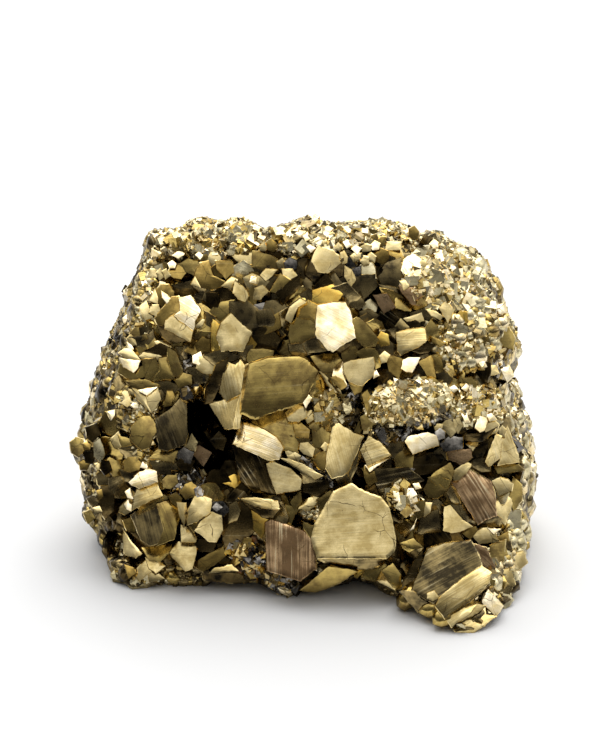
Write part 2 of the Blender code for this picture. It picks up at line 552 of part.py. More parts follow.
def main():
    """Build the specimen."""
    for thing in list(bpy.data.objects):
        bpy.data.objects.remove(thing)
    specimen = bpy.data.collections.new("pyrite_specimen")
    cutters = bpy.data.collections.new("cutters")
    bpy.context.scene.collection.children.link(specimen)
    bpy.context.scene.collection.children.link(cutters)

    mass, rings = make_mass()
    rough = add_object("rough_cluster", mass, cutters)
    growth = add_object("growth", make_growth(rings), cutters)
    ground = add_object("ground", make_ground(), cutters)
    for cutter in (rough, growth, ground):
        hide_cutter(cutter)
    combine(rough, growth, "UNION")
    combine(rough, ground, "DIFFERENCE")
    rough.modifiers.new("triangles", "TRIANGULATE")
    rough.modifiers.new("thinned", "DECIMATE").ratio = FACES_KEPT

    whole = bpy.data.meshes.new_from_object(rough.evaluated_get(bpy.context.evaluated_depsgraph_get()))
    whole.name = "pyrite_cluster"
    outer_shell(whole)
    cluster = add_object("pyrite_cluster", whole, specimen)
    cluster.data.materials.clear()
    cluster.data.materials.append(pyrite_material())


main()
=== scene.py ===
"""The looks of a hand-size pyrite specimen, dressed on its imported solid.

One intergrown mass of brassy crystals, broken open at the front. The large crystals are blocks: each
has a face drawn on a sketch sheet, tilted and lifted off the mass, and grows straight back from it.
Small crystals fill the gaps between the blocks and cover the rim, the sides and the back.

Units are metres unless a name says otherwise, +Z is up, and the broken front faces -Y.
"""
import itertools
import logging
import math
from dataclasses import dataclass, field
from enum import Enum

import bpy
import numpy as np
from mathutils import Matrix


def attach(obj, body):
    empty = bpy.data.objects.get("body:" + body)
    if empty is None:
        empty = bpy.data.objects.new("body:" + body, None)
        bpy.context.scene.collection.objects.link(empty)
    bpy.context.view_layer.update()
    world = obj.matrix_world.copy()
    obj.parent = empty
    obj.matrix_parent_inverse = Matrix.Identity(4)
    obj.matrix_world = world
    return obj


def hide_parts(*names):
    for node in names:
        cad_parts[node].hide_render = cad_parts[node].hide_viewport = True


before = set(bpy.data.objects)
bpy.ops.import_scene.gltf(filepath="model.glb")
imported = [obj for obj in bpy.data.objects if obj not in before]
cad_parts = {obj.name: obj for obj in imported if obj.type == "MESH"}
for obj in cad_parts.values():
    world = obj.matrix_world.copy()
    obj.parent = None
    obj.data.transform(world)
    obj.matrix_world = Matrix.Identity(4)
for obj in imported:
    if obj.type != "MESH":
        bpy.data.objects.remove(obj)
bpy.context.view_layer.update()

MM = 0.001
CAD_NODE = "pyrite_cluster"
BODY = "root"
log = logging.getLogger("pyrite")


# ---------------------------------------------------------------- shapes worked out with numpy


# Large odd factors that mix a cell's three numbers, and the rounds that mix the bits of their sum.
CELL_FACTORS = (73856093, 19349663, 83492791)
SALT_FACTOR = 2654435761
ROUNDS = ((15, 0x2C1B3C6D), (12, 0x297A2D39), (15, 0x5BD1E995))
LOW_BITS = 0xFFFFFFFF


def hashed(cell: np.ndarray, salt: int) -> np.ndarray:
    """Random value of each whole-number cell: its three numbers are mixed by large factors.

    Args:
        cell: whole numbers, shape (..., 3).
        salt: picks one of many patterns.

    Returns:
        Values from 0 to 1, shape (...).
    """
    mixed = (cell.astype(np.int64) * np.array(CELL_FACTORS, np.int64)).sum(-1) + salt * SALT_FACTOR
    mixed = (mixed & LOW_BITS).astype(np.uint64)
    for shift, factor in ROUNDS:
        mixed = ((mixed ^ (mixed >> np.uint64(shift))) * np.uint64(factor)) & np.uint64(LOW_BITS)
    return mixed.astype(float) / LOW_BITS


def ripple(points: np.ndarray, size: float, salt: int) -> np.ndarray:
    """Smooth noise: random values of a cell's eight corners, blended by a smooth step between them.

    Args:
        points: places, shape (..., 3).
        size: width of one cell, in the points' unit.
        salt: picks one of many patterns.

    Returns:
        Values from -1 to 1, shape (...).
    """
    spot = points / size
    cell = np.floor(spot)
    part = spot - cell
    part = part * part * (3.0 - 2.0 * part)
    total = np.zeros(points.shape[:-1])
    for corner in itertools.product((0, 1), repeat=3):
        weight = np.prod(np.where(corner, part, 1.0 - part), axis=-1)
        total += weight * hashed(cell + corner, salt)
    return 2.0 * total - 1.0


def beads(points: np.ndarray, size: float, salt: int) -> np.ndarray:
    """Rounded beads: one minus the squared distance to the nearest of the seeds, one seed to a cell.

    Args:
        points: places, shape (..., 3).
        size: width of one cell.
        salt: picks one of many patterns.

    Returns:
        Height of the bead, up to 1 at its top, shape (...).
    """
    spot = points / size
    cell = np.floor(spot)
    nearest = np.full(points.shape[:-1], np.inf)
    for step in itertools.product((-1, 0, 1), repeat=3):
        home = cell + step
        seed = home + np.stack([hashed(home, salt + axis) for axis in range(3)], -1)
        nearest = np.minimum(nearest, ((spot - seed) ** 2).sum(-1))
    return 1.0 - nearest


def unit(vectors: np.ndarray) -> np.ndarray:
    """Vectors brought to length one."""
    return vectors / np.linalg.norm(vectors, axis=-1, keepdims=True)


def resampled(corners: np.ndarray, count: int) -> np.ndarray:
    """Points along a closed outline, evenly spaced by length, with its corners kept.

    An even point nearer than a quarter of the spacing to a corner is left out.

    Args:
        corners: the outline's corners, shape (n, 2).
        count: how many evenly spaced points to add to the corners.

    Returns:
        The points, shape (at most n + count, 2).
    """
    closed = np.vstack([corners, corners[:1]])
    along = np.concatenate([[0.0], np.cumsum(np.linalg.norm(np.diff(closed, axis=0), axis=1))])
    even = np.linspace(0.0, along[-1], count, endpoint=False)
    least = 0.25 * along[-1] / count
    clear = np.abs(even[:, None] - along).min(1) > least
    at = np.sort(np.concatenate([even[clear], along[:-1]]))
    return np.stack([np.interp(at, along, closed[:, axis]) for axis in (0, 1)], -1)


def spread(corners: np.ndarray, reach: float) -> np.ndarray:
    """A polygon grown by a reach: its edges move out and its corners stay sharp, to twice the reach.

    Args:
        corners: the polygon's corners, shape (n, 2).
        reach: how far its edges move out.

    Returns:
        The moved corners, shape (n, 2).
    """
    way = unit(np.roll(corners, -1, axis=0) - corners)
    out = np.stack([way[:, 1], -way[:, 0]], -1)
    middle = (corners + np.roll(corners, -1, axis=0)) / 2.0 - corners.mean(0)
    out *= np.sign((middle * out).sum())
    back = np.roll(out, 1, axis=0)
    mitre = (out + back) / np.maximum(1.0 + (out * back).sum(-1, keepdims=True), 0.5)
    return corners + mitre * reach


def inside(spots: np.ndarray, outline: np.ndarray) -> np.ndarray:
    """Whether places lie in an outline: a line from each to the right crosses it an odd number of times.

    Args:
        spots: places, shape (n, 2).
        outline: corners, shape (m, 2).

    Returns:
        True or False for each place, shape (n).
    """
    x, y = spots[:, :1], spots[:, 1:]
    ends = np.roll(outline, -1, axis=0)
    spans = (outline[:, 1] > y) != (ends[:, 1] > y)
    rise = np.where(ends[:, 1] == outline[:, 1], 1.0, ends[:, 1] - outline[:, 1])
    cross = outline[:, 0] + (y - outline[:, 1]) * (ends[:, 0] - outline[:, 0]) / rise
    return (spans & (x < cross)).sum(1) % 2 == 1


def turned(chance: np.random.Generator, count: int) -> np.ndarray:
    """Random turns: each is a rotation matrix worked out from a random quaternion of length one.

    Args:
        chance: source of the random draws.
        count: how many turns.

    Returns:
        Rotation matrices, shape (count, 3, 3).
    """
    w, x, y, z = unit(chance.normal(size=(count, 4))).T
    rows = [1 - 2 * (y * y + z * z), 2 * (x * y - z * w), 2 * (x * z + y * w),
            2 * (x * y + z * w), 1 - 2 * (x * x + z * z), 2 * (y * z - x * w),
            2 * (x * z - y * w), 2 * (y * z + x * w), 1 - 2 * (x * x + y * y)]
    return np.stack(rows, -1).reshape(count, 3, 3)


def settled(out: np.ndarray, tilt: np.ndarray, chance: np.random.Generator) -> np.ndarray:
    """Rotations whose third axis follows an outward way, tilted off it at random by a share.

    Args:
        out: unit vectors, shape (n, 3).
        tilt: how strong the tilt is, shape (n, 1); 1 is nearly any way.
        chance: source of the random draws.

    Returns:
        Rotation matrices, shape (n, 3, 3).
    """
    way = unit(out + tilt * chance.normal(size=out.shape))
    side = unit(np.cross(way, chance.normal(size=out.shape)))
    return np.stack([side, np.cross(way, side), way], -1)


@dataclass(frozen=True)
class Sheet:
    """The sketch sheet: it leans back in front of the specimen, and its steps run right and down.

    Relief is measured from the sheet's plane towards the eye, in metres.

    Attributes:
        step: length of one step.
        middle: the sheet's middle, in steps.
        distance: from the eye to the middle.
        fall: how far the viewer looks down.
        centre: place of the middle in the specimen's frame.
        heart: middle of the specimen's front, in steps.
        dome_level: height on the sheet of the front dome's middle, in steps.
        dome_half: half the dome's width and height, in steps.
        dome_relief: relief of the dome's middle, in millimetres.
        dome_fall: how much less it is at the dome's edge.
        dome_tilt: how much more it is at the dome's foot.
        toe: place of the proud corner, in steps.
        toe_width: how wide the rise to it is, in steps.
        toe_relief: how far it stands out, in millimetres.
    """

    step: float = 0.14 * MM
    middle: tuple[float, float] = (300.0, 372.0)
    distance: float = 289.3 * MM
    fall: float = math.radians(22.0)
    centre: tuple[float, float, float] = (-0.75 * MM, -2.34 * MM, 28.04 * MM)
    heart: tuple[float, float] = (305.0, 425.0)
    dome_level: float = 410.0
    dome_half: tuple[float, float] = (225.0, 190.0)
    dome_relief: float = 4.0
    dome_fall: float = 6.0
    dome_tilt: float = 3.0
    toe: tuple[float, float] = (455.0, 595.0)
    toe_width: float = 42.0
    toe_relief: float = 9.5

    @property
    def right(self) -> np.ndarray:
        """The way to the right along the sheet."""
        return np.array((1.0, 0.0, 0.0))

    @property
    def up(self) -> np.ndarray:
        """The way up the sheet."""
        return np.array((0.0, math.sin(self.fall), math.cos(self.fall)))

    @property
    def ahead(self) -> np.ndarray:
        """The viewer's way of looking, square to the sheet."""
        return np.array((0.0, math.cos(self.fall), -math.sin(self.fall)))

    @property
    def eye(self) -> np.ndarray:
        """The viewer's place."""
        return np.array(self.centre) - self.ahead * self.distance

    def cast(self, x: np.ndarray, y: np.ndarray) -> np.ndarray:
        """Ray from the eye through places on the sheet, one long along the way of looking."""
        across = np.asarray(x, float)[..., None] - self.middle[0]
        rise = self.middle[1] - np.asarray(y, float)[..., None]
        return self.ahead + (self.right * across + self.up * rise) * self.step / self.distance

    def place(self, x: np.ndarray, y: np.ndarray, relief: np.ndarray) -> np.ndarray:
        """Point behind or before a place on the sheet: the eye plus its ray, relief short of it."""
        return self.eye + self.cast(x, y) * (self.distance - np.asarray(relief, float))[..., None]

    def seen_at(self, points: np.ndarray) -> np.ndarray:
        """Places on the sheet, shape (n, 2), at which points of shape (n, 3) are seen."""
        away = points - self.eye
        scale = self.distance / self.step / (away @ self.ahead)
        return np.stack([self.middle[0] + away @ self.right * scale,
                         self.middle[1] - away @ self.up * scale], -1)

    def floor_relief(self, y: np.ndarray) -> np.ndarray:
        """Relief at which the ray through a height on the sheet meets the standing plane."""
        drop = (np.asarray(y, float) - self.middle[1]) * self.step * math.cos(self.fall)
        return (drop - self.centre[2]) / (math.sin(self.fall) + drop / self.distance)

    def front_relief(self, x: np.ndarray, y: np.ndarray) -> np.ndarray:
        """Relief of the broken front: a low dome that falls off to the edge, with one proud corner.

        The fall grows as the fourth power of the distance from the dome's middle, up to its edge, and
        the corner is a bell curve.

        Args:
            x: places on the sheet, to the right.
            y: places on the sheet, down.

        Returns:
            The relief, in metres.
        """
        across, down = (x - self.heart[0]) / self.dome_half[0], (y - self.dome_level) / self.dome_half[1]
        edge = np.minimum((across * across + down * down) ** 2, 1.0)
        away = (x - self.toe[0]) ** 2 + (y - self.toe[1]) ** 2
        corner = np.exp(-away / (2 * self.toe_width ** 2))
        return (self.dome_relief - self.dome_fall * edge + self.dome_tilt * down
                + self.toe_relief * corner) * MM


SHEET = Sheet()


# ---------------------------------------------------------------- finishes


@dataclass(frozen=True)
class Metal:
    """One finish of the mineral: two colours that mottle, how dull it is, and how rough to the eye.

    Attributes:
        label: the material's name.
        clean: sRGB hex colour where the face is clean.
        worn: sRGB hex colour where it is tarnished or shaded.
        roughness: how dull the face is.
        metallic: 1 for a sulphide, less for iron rust.
        mottle: width of a tarnish fleck, in millimetres.
        tarnish_sheen_cloud: width of a soft cloud of tarnish and painted reflection, in millimetres.
        grit: height of the fine pits and growth steps, in millimetres.
    """

    label: str
    clean: str
    worn: str
    roughness: float
    metallic: float = 1.0
    mottle: float = 0.9
    tarnish_sheen_cloud: float = 2.6
    grit: float = 0.005


class Finish(Enum):
    """The finishes of the specimen. Fresh pyrite is pale brass; tarnish takes it to olive and brown.

    Several are also lit and shaded copies of that one brass, picked by how bright each face looks: the
    brightest carries painted highlight, the darkest painted shade, the honey one painted reflection.
    """

    # Fresh cleavage and faces that catch the light: near white, partly a painted highlight.
    BRIGHT = Metal("pyrite_cleavage_painted_highlight", "#FFF0CC", "#DDC58C", 0.14, mottle=1.0)
    # Clean faces a little dulled by air: pale brass.
    PALE = Metal("pyrite_clean_face", "#F7E0A2", "#CCB374", 0.16)
    # Smooth growth faces with a deeper brass yellow.
    GOLD = Metal("pyrite_brass_face", "#D8B766", "#947A40", 0.15)
    # Faces with a thin tarnish: greenish brass.
    OLIVE = Metal("pyrite_olive_tarnish", "#CFB468", "#887243", 0.17)
    # Faces with a thicker tarnish and faces in shade: olive brown, partly painted shade.
    SHADE = Metal("pyrite_tarnish_painted_shade", "#B49E6A", "#4B4230", 0.2)
    # Painted shade: dark olive brown for faces deep in the mass, under overhangs and in the gaps.
    DARK = Metal("pyrite_painted_deep_shade", "#6E5C38", "#1B1812", 0.2)
    # The crust's own small cubes: pale brass greyed by fine steps on their faces.
    DRUSE = Metal("pyrite_druse", "#F0E3B8", "#B9AC82", 0.3, mottle=0.6)
    # Oxidised striated faces: brown with a faint pink cast.
    BROWN = Metal("pyrite_brown_oxide", "#D8B486", "#7E6446", 0.28, mottle=0.9)
    # Painted reflection: honey yellow for faces that mirror other brass faces.
    HONEY = Metal("pyrite_painted_brass_reflection", "#F2CF6A", "#DDB04E", 0.15)
    # Galena and fine dark sulphide between the crystals: lead grey, sparkling.
    LEAD = Metal("galena_grains", "#9C968C", "#2D2C2A", 0.2, mottle=0.5)
    # Iron rust in the cracks: earthy orange brown, hardly metallic.
    RUST = Metal("iron_rust", "#8F6238", "#3D2A1B", 0.55, metallic=0.3, mottle=0.5)
    # The druse that the mass is made of: a fine crust of brass grains, grey brown between them.
    CRUST = Metal("pyrite_druse_crust", "#AC9B6E", "#473D28", 0.3, mottle=0.6, tarnish_sheen_cloud=1.6, grit=0.01)


def linear(hex_colour: str) -> tuple[float, float, float, float]:
    """Linear colour of an sRGB hex value such as #C29F55."""
    parts = [int(hex_colour[i:i + 2], 16) / 255.0 for i in (1, 3, 5)]
    red, green, blue = (c / 12.92 if c <= 0.04045 else ((c + 0.055) / 1.055) ** 2.4 for c in parts)
    return (red, green, blue, 1.0)


def add_node(tree: bpy.types.NodeTree, kind: str, settings: dict | None = None,
             inputs: dict | None = None) -> bpy.types.Node:
    """Add a node with its settings and links.

    Args:
        tree: the node tree.
        kind: the node's type name.
        settings: values of the node's own properties.
        inputs: by input name or number, a value or another node's output to link.

    Returns:
        The node.
    """
    node = tree.nodes.new(kind)
    for name, value in (settings or {}).items():
        setattr(node, name, value)
    for name, value in (inputs or {}).items():
        if isinstance(value, bpy.types.NodeSocket):
            tree.links.new(value, node.inputs[name])
        else:
            node.inputs[name].default_value = value
    return node


def noise(tree: bpy.types.NodeTree, spot: bpy.types.NodeSocket, width: float, detail: float,
          roughness: float = 0.5, output: str = "Fac") -> bpy.types.NodeSocket:
    """Solid noise of a width in millimetres: one value at each place, or three as a colour."""
    return add_node(tree, "ShaderNodeTexNoise", inputs={
        "Vector": spot, "Scale": 1.0 / (width * MM), "Detail": detail,
        "Roughness": roughness}).outputs[output]


def ranged(tree: bpy.types.NodeTree, value: bpy.types.NodeSocket, span: tuple[float, float],
           reach: tuple[float, float] = (0.0, 1.0)) -> bpy.types.NodeSocket:
    """A value moved from one range to another, and held inside it."""
    return add_node(tree, "ShaderNodeMapRange", inputs={
        "Value": value, "From Min": span[0], "From Max": span[1],
        "To Min": reach[0], "To Max": reach[1]}).outputs[0]


def reckoned(tree: bpy.types.NodeTree, operation: str,
             *values: bpy.types.NodeSocket | float) -> bpy.types.NodeSocket:
    """A sum, product or comparison of values, by the operation's name."""
    return add_node(tree, "ShaderNodeMath", {"operation": operation}, dict(enumerate(values))).outputs[0]


def blended(tree: bpy.types.NodeTree, share: bpy.types.NodeSocket,
            *colours: bpy.types.NodeSocket | tuple[float, ...]) -> bpy.types.NodeSocket:
    """The first of two colours, replaced by the second by a share."""
    return add_node(tree, "ShaderNodeMix", {"data_type": "RGBA"},
                    {"Factor": share, 6: colours[0], 7: colours[1]}).outputs[2]


@dataclass(frozen=True)
class Dresser:
    """Makes the material of each finish.

    A span is the pair of noise values over which an effect goes from none to full.

    Attributes:
        ridge_height: height of the growth striations, in metres.
        ridge_width: width of one striation, in millimetres. Real ones are near 0.05 mm, too fine to show.
        ridge_length: length over which one striation changes, in millimetres.
        fresh: sRGB hex colour of the striations' bare crests.
        crack_spacing: distance between the hairline cracks, in millimetres.
        crack_width: half the width of one, in millimetres. Real ones are finer, too fine to show.
        crack_core: share of it that is dark in full.
        pit_spacing: distance between the etched pits, in millimetres.
        pit_width: greatest width of one, in millimetres.
        crack_colour: sRGB hex colour in a crack and in a pit.
        bend_width: width of the bends of a crack, in millimetres.
        bend_reach: how far a bend strays, in millimetres.
        cracked_width: width of the parts with cracks and of those without, in millimetres.
        cracked_span: where the cracks are open.
        pitted_span: which pits are there; the last is the largest.
        grit_width: width of the fine pits and growth steps, in millimetres.
        fleck_span: where a fleck of tarnish shows.
        fleck_force: how much of the worn colour a fleck brings.
        tarnish_sheen_span: where a soft cloud of tarnish and painted reflection shows.
        tarnish_sheen_force: how much of the worn colour there is outside and inside such a cloud.
        groove_span: where a striation's groove takes the worn colour.
        crest_span: where a striation's crest takes the crest colour.
        dull_span: where a face is duller.
        dull_change: how much less and more rough it can be.
        lot_step: how far two crystals' noise lies apart.
    """

    ridge_height: float = 0.03 * MM
    ridge_width: float = 0.24
    ridge_length: float = 8.0
    # fresh: sRGB hex colour of the striations' crests.
    fresh: str = "#EBDDB4"
    crack_spacing: float = 4.4
    crack_width: float = 0.038
    crack_core: float = 0.3
    pit_spacing: float = 1.5
    pit_width: float = 0.22
    crack_colour: str = "#5E4C2A"
    bend_width: float = 1.6
    bend_reach: float = 0.7
    cracked_width: float = 4.0
    cracked_span: tuple[float, float] = (0.50, 0.58)
    pitted_span: tuple[float, float] = (0.55, 1.0)
    grit_width: float = 0.3
    fleck_span: tuple[float, float] = (0.42, 0.62)
    fleck_force: float = 0.4
    tarnish_sheen_span: tuple[float, float] = (0.40, 0.62)
    tarnish_sheen_force: tuple[float, float] = (-0.1, 0.6)
    groove_span: tuple[float, float] = (0.42, 0.62)
    crest_span: tuple[float, float] = (0.40, 0.30)
    dull_span: tuple[float, float] = (0.35, 0.7)
    dull_change: tuple[float, float] = (-0.06, 0.12)
    lot_step: float = 90.0

    def streak(self, tree: bpy.types.NodeTree) -> bpy.types.NodeSocket:
        """Noise drawn out along the face's grain: long streaks, different on each face.

        Args:
            tree: the node tree.

        Returns:
            The noise, a striation's width across and its length along.
        """
        grain = add_node(tree, "ShaderNodeUVMap", {"uv_map": "grain"}).outputs[0]
        lot = add_node(tree, "ShaderNodeAttribute", {"attribute_name": "lot"}).outputs["Fac"]
        stretch = (1.0 / self.ridge_length, 1.0 / self.ridge_width, 1.0)
        drawn = add_node(tree, "ShaderNodeVectorMath", {"operation": "MULTIPLY"},
                         {0: grain, 1: stretch}).outputs[0]
        place = reckoned(tree, "MULTIPLY", lot, self.lot_step)
        streaks = add_node(tree, "ShaderNodeTexNoise", {"noise_dimensions": "4D"},
                           {"Vector": drawn, "W": place, "Scale": 1.0, "Detail": 3.0, "Roughness": 0.6})
        return streaks.outputs[0]

    def flaw(self, tree: bpy.types.NodeTree, spot: bpy.types.NodeSocket) -> bpy.types.NodeSocket:
        """Hairline cracks that wander and stop, and small etched pits here and there.

        The cracks are the borders of the cells about scattered seeds, drawn in bent space; a pit lies
        about some of the seeds of a finer set.

        Args:
            tree: the node tree.
            spot: the place, in metres.

        Returns:
            1 in a crack or a pit, else 0.
        """
        bend = noise(tree, spot, self.bend_width, 2.0, output="Color")
        shift = add_node(tree, "ShaderNodeVectorMath", {"operation": "SCALE"},
                         {0: bend, "Scale": self.bend_reach * MM}).outputs[0]
        bent = add_node(tree, "ShaderNodeVectorMath", {"operation": "ADD"}, {0: spot, 1: shift}).outputs[0]
        away = add_node(tree, "ShaderNodeTexVoronoi", {"feature": "DISTANCE_TO_EDGE"},
                        {"Vector": bent, "Scale": 1.0 / (self.crack_spacing * MM)}).outputs["Distance"]
        half = self.crack_width / self.crack_spacing
        crack = ranged(tree, away, (half, self.crack_core * half))
        open_here = ranged(tree, noise(tree, spot, self.cracked_width, 1.0), self.cracked_span)
        cracked = reckoned(tree, "MULTIPLY", crack, open_here)
        near = add_node(tree, "ShaderNodeTexVoronoi", inputs={
            "Vector": bent, "Scale": 1.0 / (self.pit_spacing * MM)})
        size = ranged(tree, near.outputs["Color"], self.pitted_span,
                      (0.0, self.pit_width / self.pit_spacing / 2.0))
        pit = reckoned(tree, "LESS_THAN", near.outputs["Distance"], size)
        return reckoned(tree, "MAXIMUM", cracked, pit)

    def tint(self, tree: bpy.types.NodeTree, metal: Metal, mottle: bpy.types.NodeSocket,
             ridges: bpy.types.NodeSocket, stripe: bpy.types.NodeSocket) -> bpy.types.NodeSocket:
        """The finish's two colours, blended by flecks of tarnish, by clouds of tarnish and painted
        reflection, and along the striations.

        Args:
            tree: the node tree.
            metal: the finish.
            mottle: the noise of the flecks.
            ridges: the noise of the striations.
            stripe: how strong the striations are.

        Returns:
            The colour.
        """
        spot = add_node(tree, "ShaderNodeTexCoord").outputs["Object"]
        flecks = ranged(tree, mottle, self.fleck_span)
        # Clouds paint soft golden and dark patches over the tarnish: painted reflections of neighbouring
        # faces.
        tarnish_sheen = ranged(tree, noise(tree, spot, metal.tarnish_sheen_cloud, 1.5), self.tarnish_sheen_span, self.tarnish_sheen_force)
        tarnish = reckoned(tree, "MULTIPLY_ADD", flecks, self.fleck_force, tarnish_sheen)
        grooves = reckoned(tree, "MULTIPLY", ranged(tree, ridges, self.groove_span), stripe)
        wear = reckoned(tree, "ADD", tarnish, grooves)
        wear.node.use_clamp = True
        colour = blended(tree, wear, linear(metal.clean), linear(metal.worn))
        bare = reckoned(tree, "MULTIPLY", ranged(tree, ridges, self.crest_span), stripe)
        colour = blended(tree, bare, colour, linear(self.fresh))
        return blended(tree, self.flaw(tree, spot), colour, linear(self.crack_colour))

    def material(self, metal: Metal) -> bpy.types.Material:
        """Sulphide metal: mottled by tarnish and painted reflection, streaked along its striations,
        with fine pits.

        Args:
            metal: the finish.

        Returns:
            The material.
        """
        made = bpy.data.materials.new(metal.label)
        made.use_nodes = True
        tree = made.node_tree
        shader = tree.nodes["Principled BSDF"]
        spot = add_node(tree, "ShaderNodeTexCoord").outputs["Object"]
        stripe = add_node(tree, "ShaderNodeAttribute", {"attribute_name": "stripe"}).outputs["Fac"]
        ridges = self.streak(tree)
        mottle = noise(tree, spot, metal.mottle, 5.0, 0.62)
        less, more = self.dull_change
        dull = ranged(tree, mottle, self.dull_span, (metal.roughness + less, metal.roughness + more))
        pits = reckoned(tree, "MULTIPLY", noise(tree, spot, self.grit_width, 3.0), metal.grit * MM)
        height = reckoned(tree, "MULTIPLY", ridges, stripe)
        relief = reckoned(tree, "MULTIPLY_ADD", height, self.ridge_height, pits)
        bump = add_node(tree, "ShaderNodeBump", inputs={"Height": relief, "Distance": 1.0})
        tree.links.new(self.tint(tree, metal, mottle, ridges, stripe), shader.inputs["Base Color"])
        tree.links.new(dull, shader.inputs["Roughness"])
        tree.links.new(bump.outputs[0], shader.inputs["Normal"])
        shader.inputs["Metallic"].default_value = metal.metallic
        return made

    def palette(self) -> dict[Finish, bpy.types.Material]:
        """The material of every finish."""
        return {finish: self.material(finish.value) for finish in Finish}


# ---------------------------------------------------------------- meshes


@dataclass
class Batch:
    """Closed shells gathered into one piece, each face with its finish and each corner with its grain.

    Attributes:
        name: the piece's name.
        sharp_from: angle at which an edge between two faces is shaded sharp.
        points, loops, sides, slots, grains, stripes, lots: what add was given, call by call.
        count: how many corners there are so far.
    """

    name: str
    sharp_from: float = math.radians(28.0)
    points: list[np.ndarray] = field(default_factory=list)
    loops: list[np.ndarray] = field(default_factory=list)
    sides: list[np.ndarray] = field(default_factory=list)
    slots: list[np.ndarray] = field(default_factory=list)
    grains: list[np.ndarray] = field(default_factory=list)
    stripes: list[np.ndarray] = field(default_factory=list)
    lots: list[np.ndarray] = field(default_factory=list)
    count: int = 0

    def add(self, points: np.ndarray, loops: np.ndarray, sides: np.ndarray, slots: np.ndarray,
            grain: np.ndarray, stripe: np.ndarray, lot: np.ndarray) -> None:
        """Add one or more shells.

        Args:
            points: places of the corners, shape (n, 3).
            loops: corner numbers of the faces, one face after another.
            sides: number of corners of each face.
            slots: finish number of each face.
            grain: place of each corner along and across the striations, in millimetres, shape (n, 2).
            stripe: how strong the striations are at each corner, shape (n).
            lot: random value of the crystal, at each corner, shape (n).
        """
        self.points.append(points)
        self.loops.append(loops + self.count)
        self.sides.append(sides)
        self.slots.append(slots)
        self.grains.append(grain)
        self.stripes.append(stripe)
        self.lots.append(lot)
        self.count += len(points)

    def add_rings(self, rings: np.ndarray, first: np.ndarray, last: np.ndarray, bands: np.ndarray,
                  grain: np.ndarray, stripe: np.ndarray, lot: float) -> None:
        """Add a shell of closed rings between two poles, turned so that its faces look out.

        Args:
            rings: the rings' points, shape (rings, columns, 3).
            first: the pole before the first ring.
            last: the pole after the last ring.
            bands: finish numbers of the bands between rings, fans included, shape (rings + 1) or
                (rings + 1, columns).
            grain: shape (rings, columns, 2).
            stripe: strength of the striations on each ring, shape (rings).
            lot: random value of this shell.
        """
        rows, columns = rings.shape[:2]
        middle = rings.reshape(-1, 3).mean(0)
        ring = rings[rows // 3] - middle
        around = np.cross(ring, np.roll(ring, -1, axis=0)).sum(0)
        if around @ (rings[0].mean(0) - last) > 0:
            rings, grain = rings[:, ::-1], grain[:, ::-1]
        spots = np.concatenate([first[None], rings.reshape(-1, 3), last[None]])
        i = np.arange(columns)
        j = (i + 1) % columns
        start = 1 + np.arange(rows - 1)[:, None] * columns
        quads = np.stack([start + i, start + columns + i, start + columns + j, start + j], -1)
        end = 1 + (rows - 1) * columns
        fan = np.stack([np.zeros_like(i), 1 + i, 1 + j], -1)
        cap = np.stack([np.full_like(i, end + columns), end + j, end + i], -1)
        loops = np.concatenate([fan.ravel(), quads.ravel(), cap.ravel()])
        sides = np.concatenate([np.full(columns, 3), np.full(columns * (rows - 1), 4),
                                np.full(columns, 3)])
        slots = np.broadcast_to(bands.reshape(rows + 1, -1), (rows + 1, columns)).ravel()
        flat = np.concatenate([grain[0].mean(0)[None], grain.reshape(-1, 2), grain[-1].mean(0)[None]])
        force = np.concatenate([stripe[:1], np.repeat(stripe, columns), stripe[-1:]])
        self.add(spots, loops, sides, slots, flat, force, np.full(len(spots), lot))

    def piece(self, materials: dict[Finish, bpy.types.Material], smooth: bool = True) -> bpy.types.Object:
        """Make the mesh and its object, with a material slot for each finish, and ride it on the body.

        Args:
            materials: the material of every finish.
            smooth: whether faces that meet at a low angle are shaded as one.

        Returns:
            The object.
        """
        sides = np.concatenate(self.sides)
        loops = np.concatenate(self.loops)
        grains = np.concatenate(self.grains)
        mesh = bpy.data.meshes.new(self.name)
        mesh.vertices.add(self.count)
        mesh.vertices.foreach_set("co", np.concatenate(self.points).astype(np.float32).ravel())
        mesh.loops.add(len(loops))
        mesh.loops.foreach_set("vertex_index", loops.astype(np.int32))
        mesh.polygons.add(len(sides))
        mesh.polygons.foreach_set("loop_start", (np.cumsum(sides) - sides).astype(np.int32))
        mesh.polygons.foreach_set("material_index", np.concatenate(self.slots).astype(np.int32))
        mesh.update(calc_edges=True)
        mesh.uv_layers.new(name="grain").data.foreach_set("uv", grains[loops].astype(np.float32).ravel())
        for name, values in (("stripe", self.stripes), ("lot", self.lots)):
            layer = mesh.attributes.new(name, "FLOAT", "POINT")
            layer.data.foreach_set("value", np.concatenate(values).astype(np.float32))
        for finish in Finish:
            mesh.materials.append(materials[finish])
        if smooth:
            mesh.shade_smooth()
            mesh.set_sharp_from_angle(angle=self.sharp_from)
        else:
            mesh.shade_flat()
        thing = bpy.data.objects.new(self.name, mesh)
        bpy.context.scene.collection.objects.link(thing)
        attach(thing, BODY)
        return thing


def slot_of(finish: Finish) -> int:
    """Number of a finish among the materials of a piece."""
    return list(Finish).index(finish)


# ---------------------------------------------------------------- the mass


@dataclass(frozen=True)
class Hollow:
    """A hollow of the broken front: its centre and radius on the sheet, and its depth in millimetres."""

    x: float
    y: float
    radius: float
    depth: float


HOLLOWS = (
    Hollow(218, 440, 42, 7.0), Hollow(205, 405, 20, 4.0), Hollow(183, 275, 16, 3.5),
    Hollow(283, 338, 14, 4.0), Hollow(376, 300, 18, 4.5), Hollow(305, 492, 22, 5.0),
    Hollow(360, 480, 24, 4.0), Hollow(430, 470, 30, 3.5), Hollow(470, 445, 18, 4.0),
    Hollow(410, 560, 22, 3.0), Hollow(210, 552, 16, 3.0), Hollow(98, 505, 24, 2.5),
)

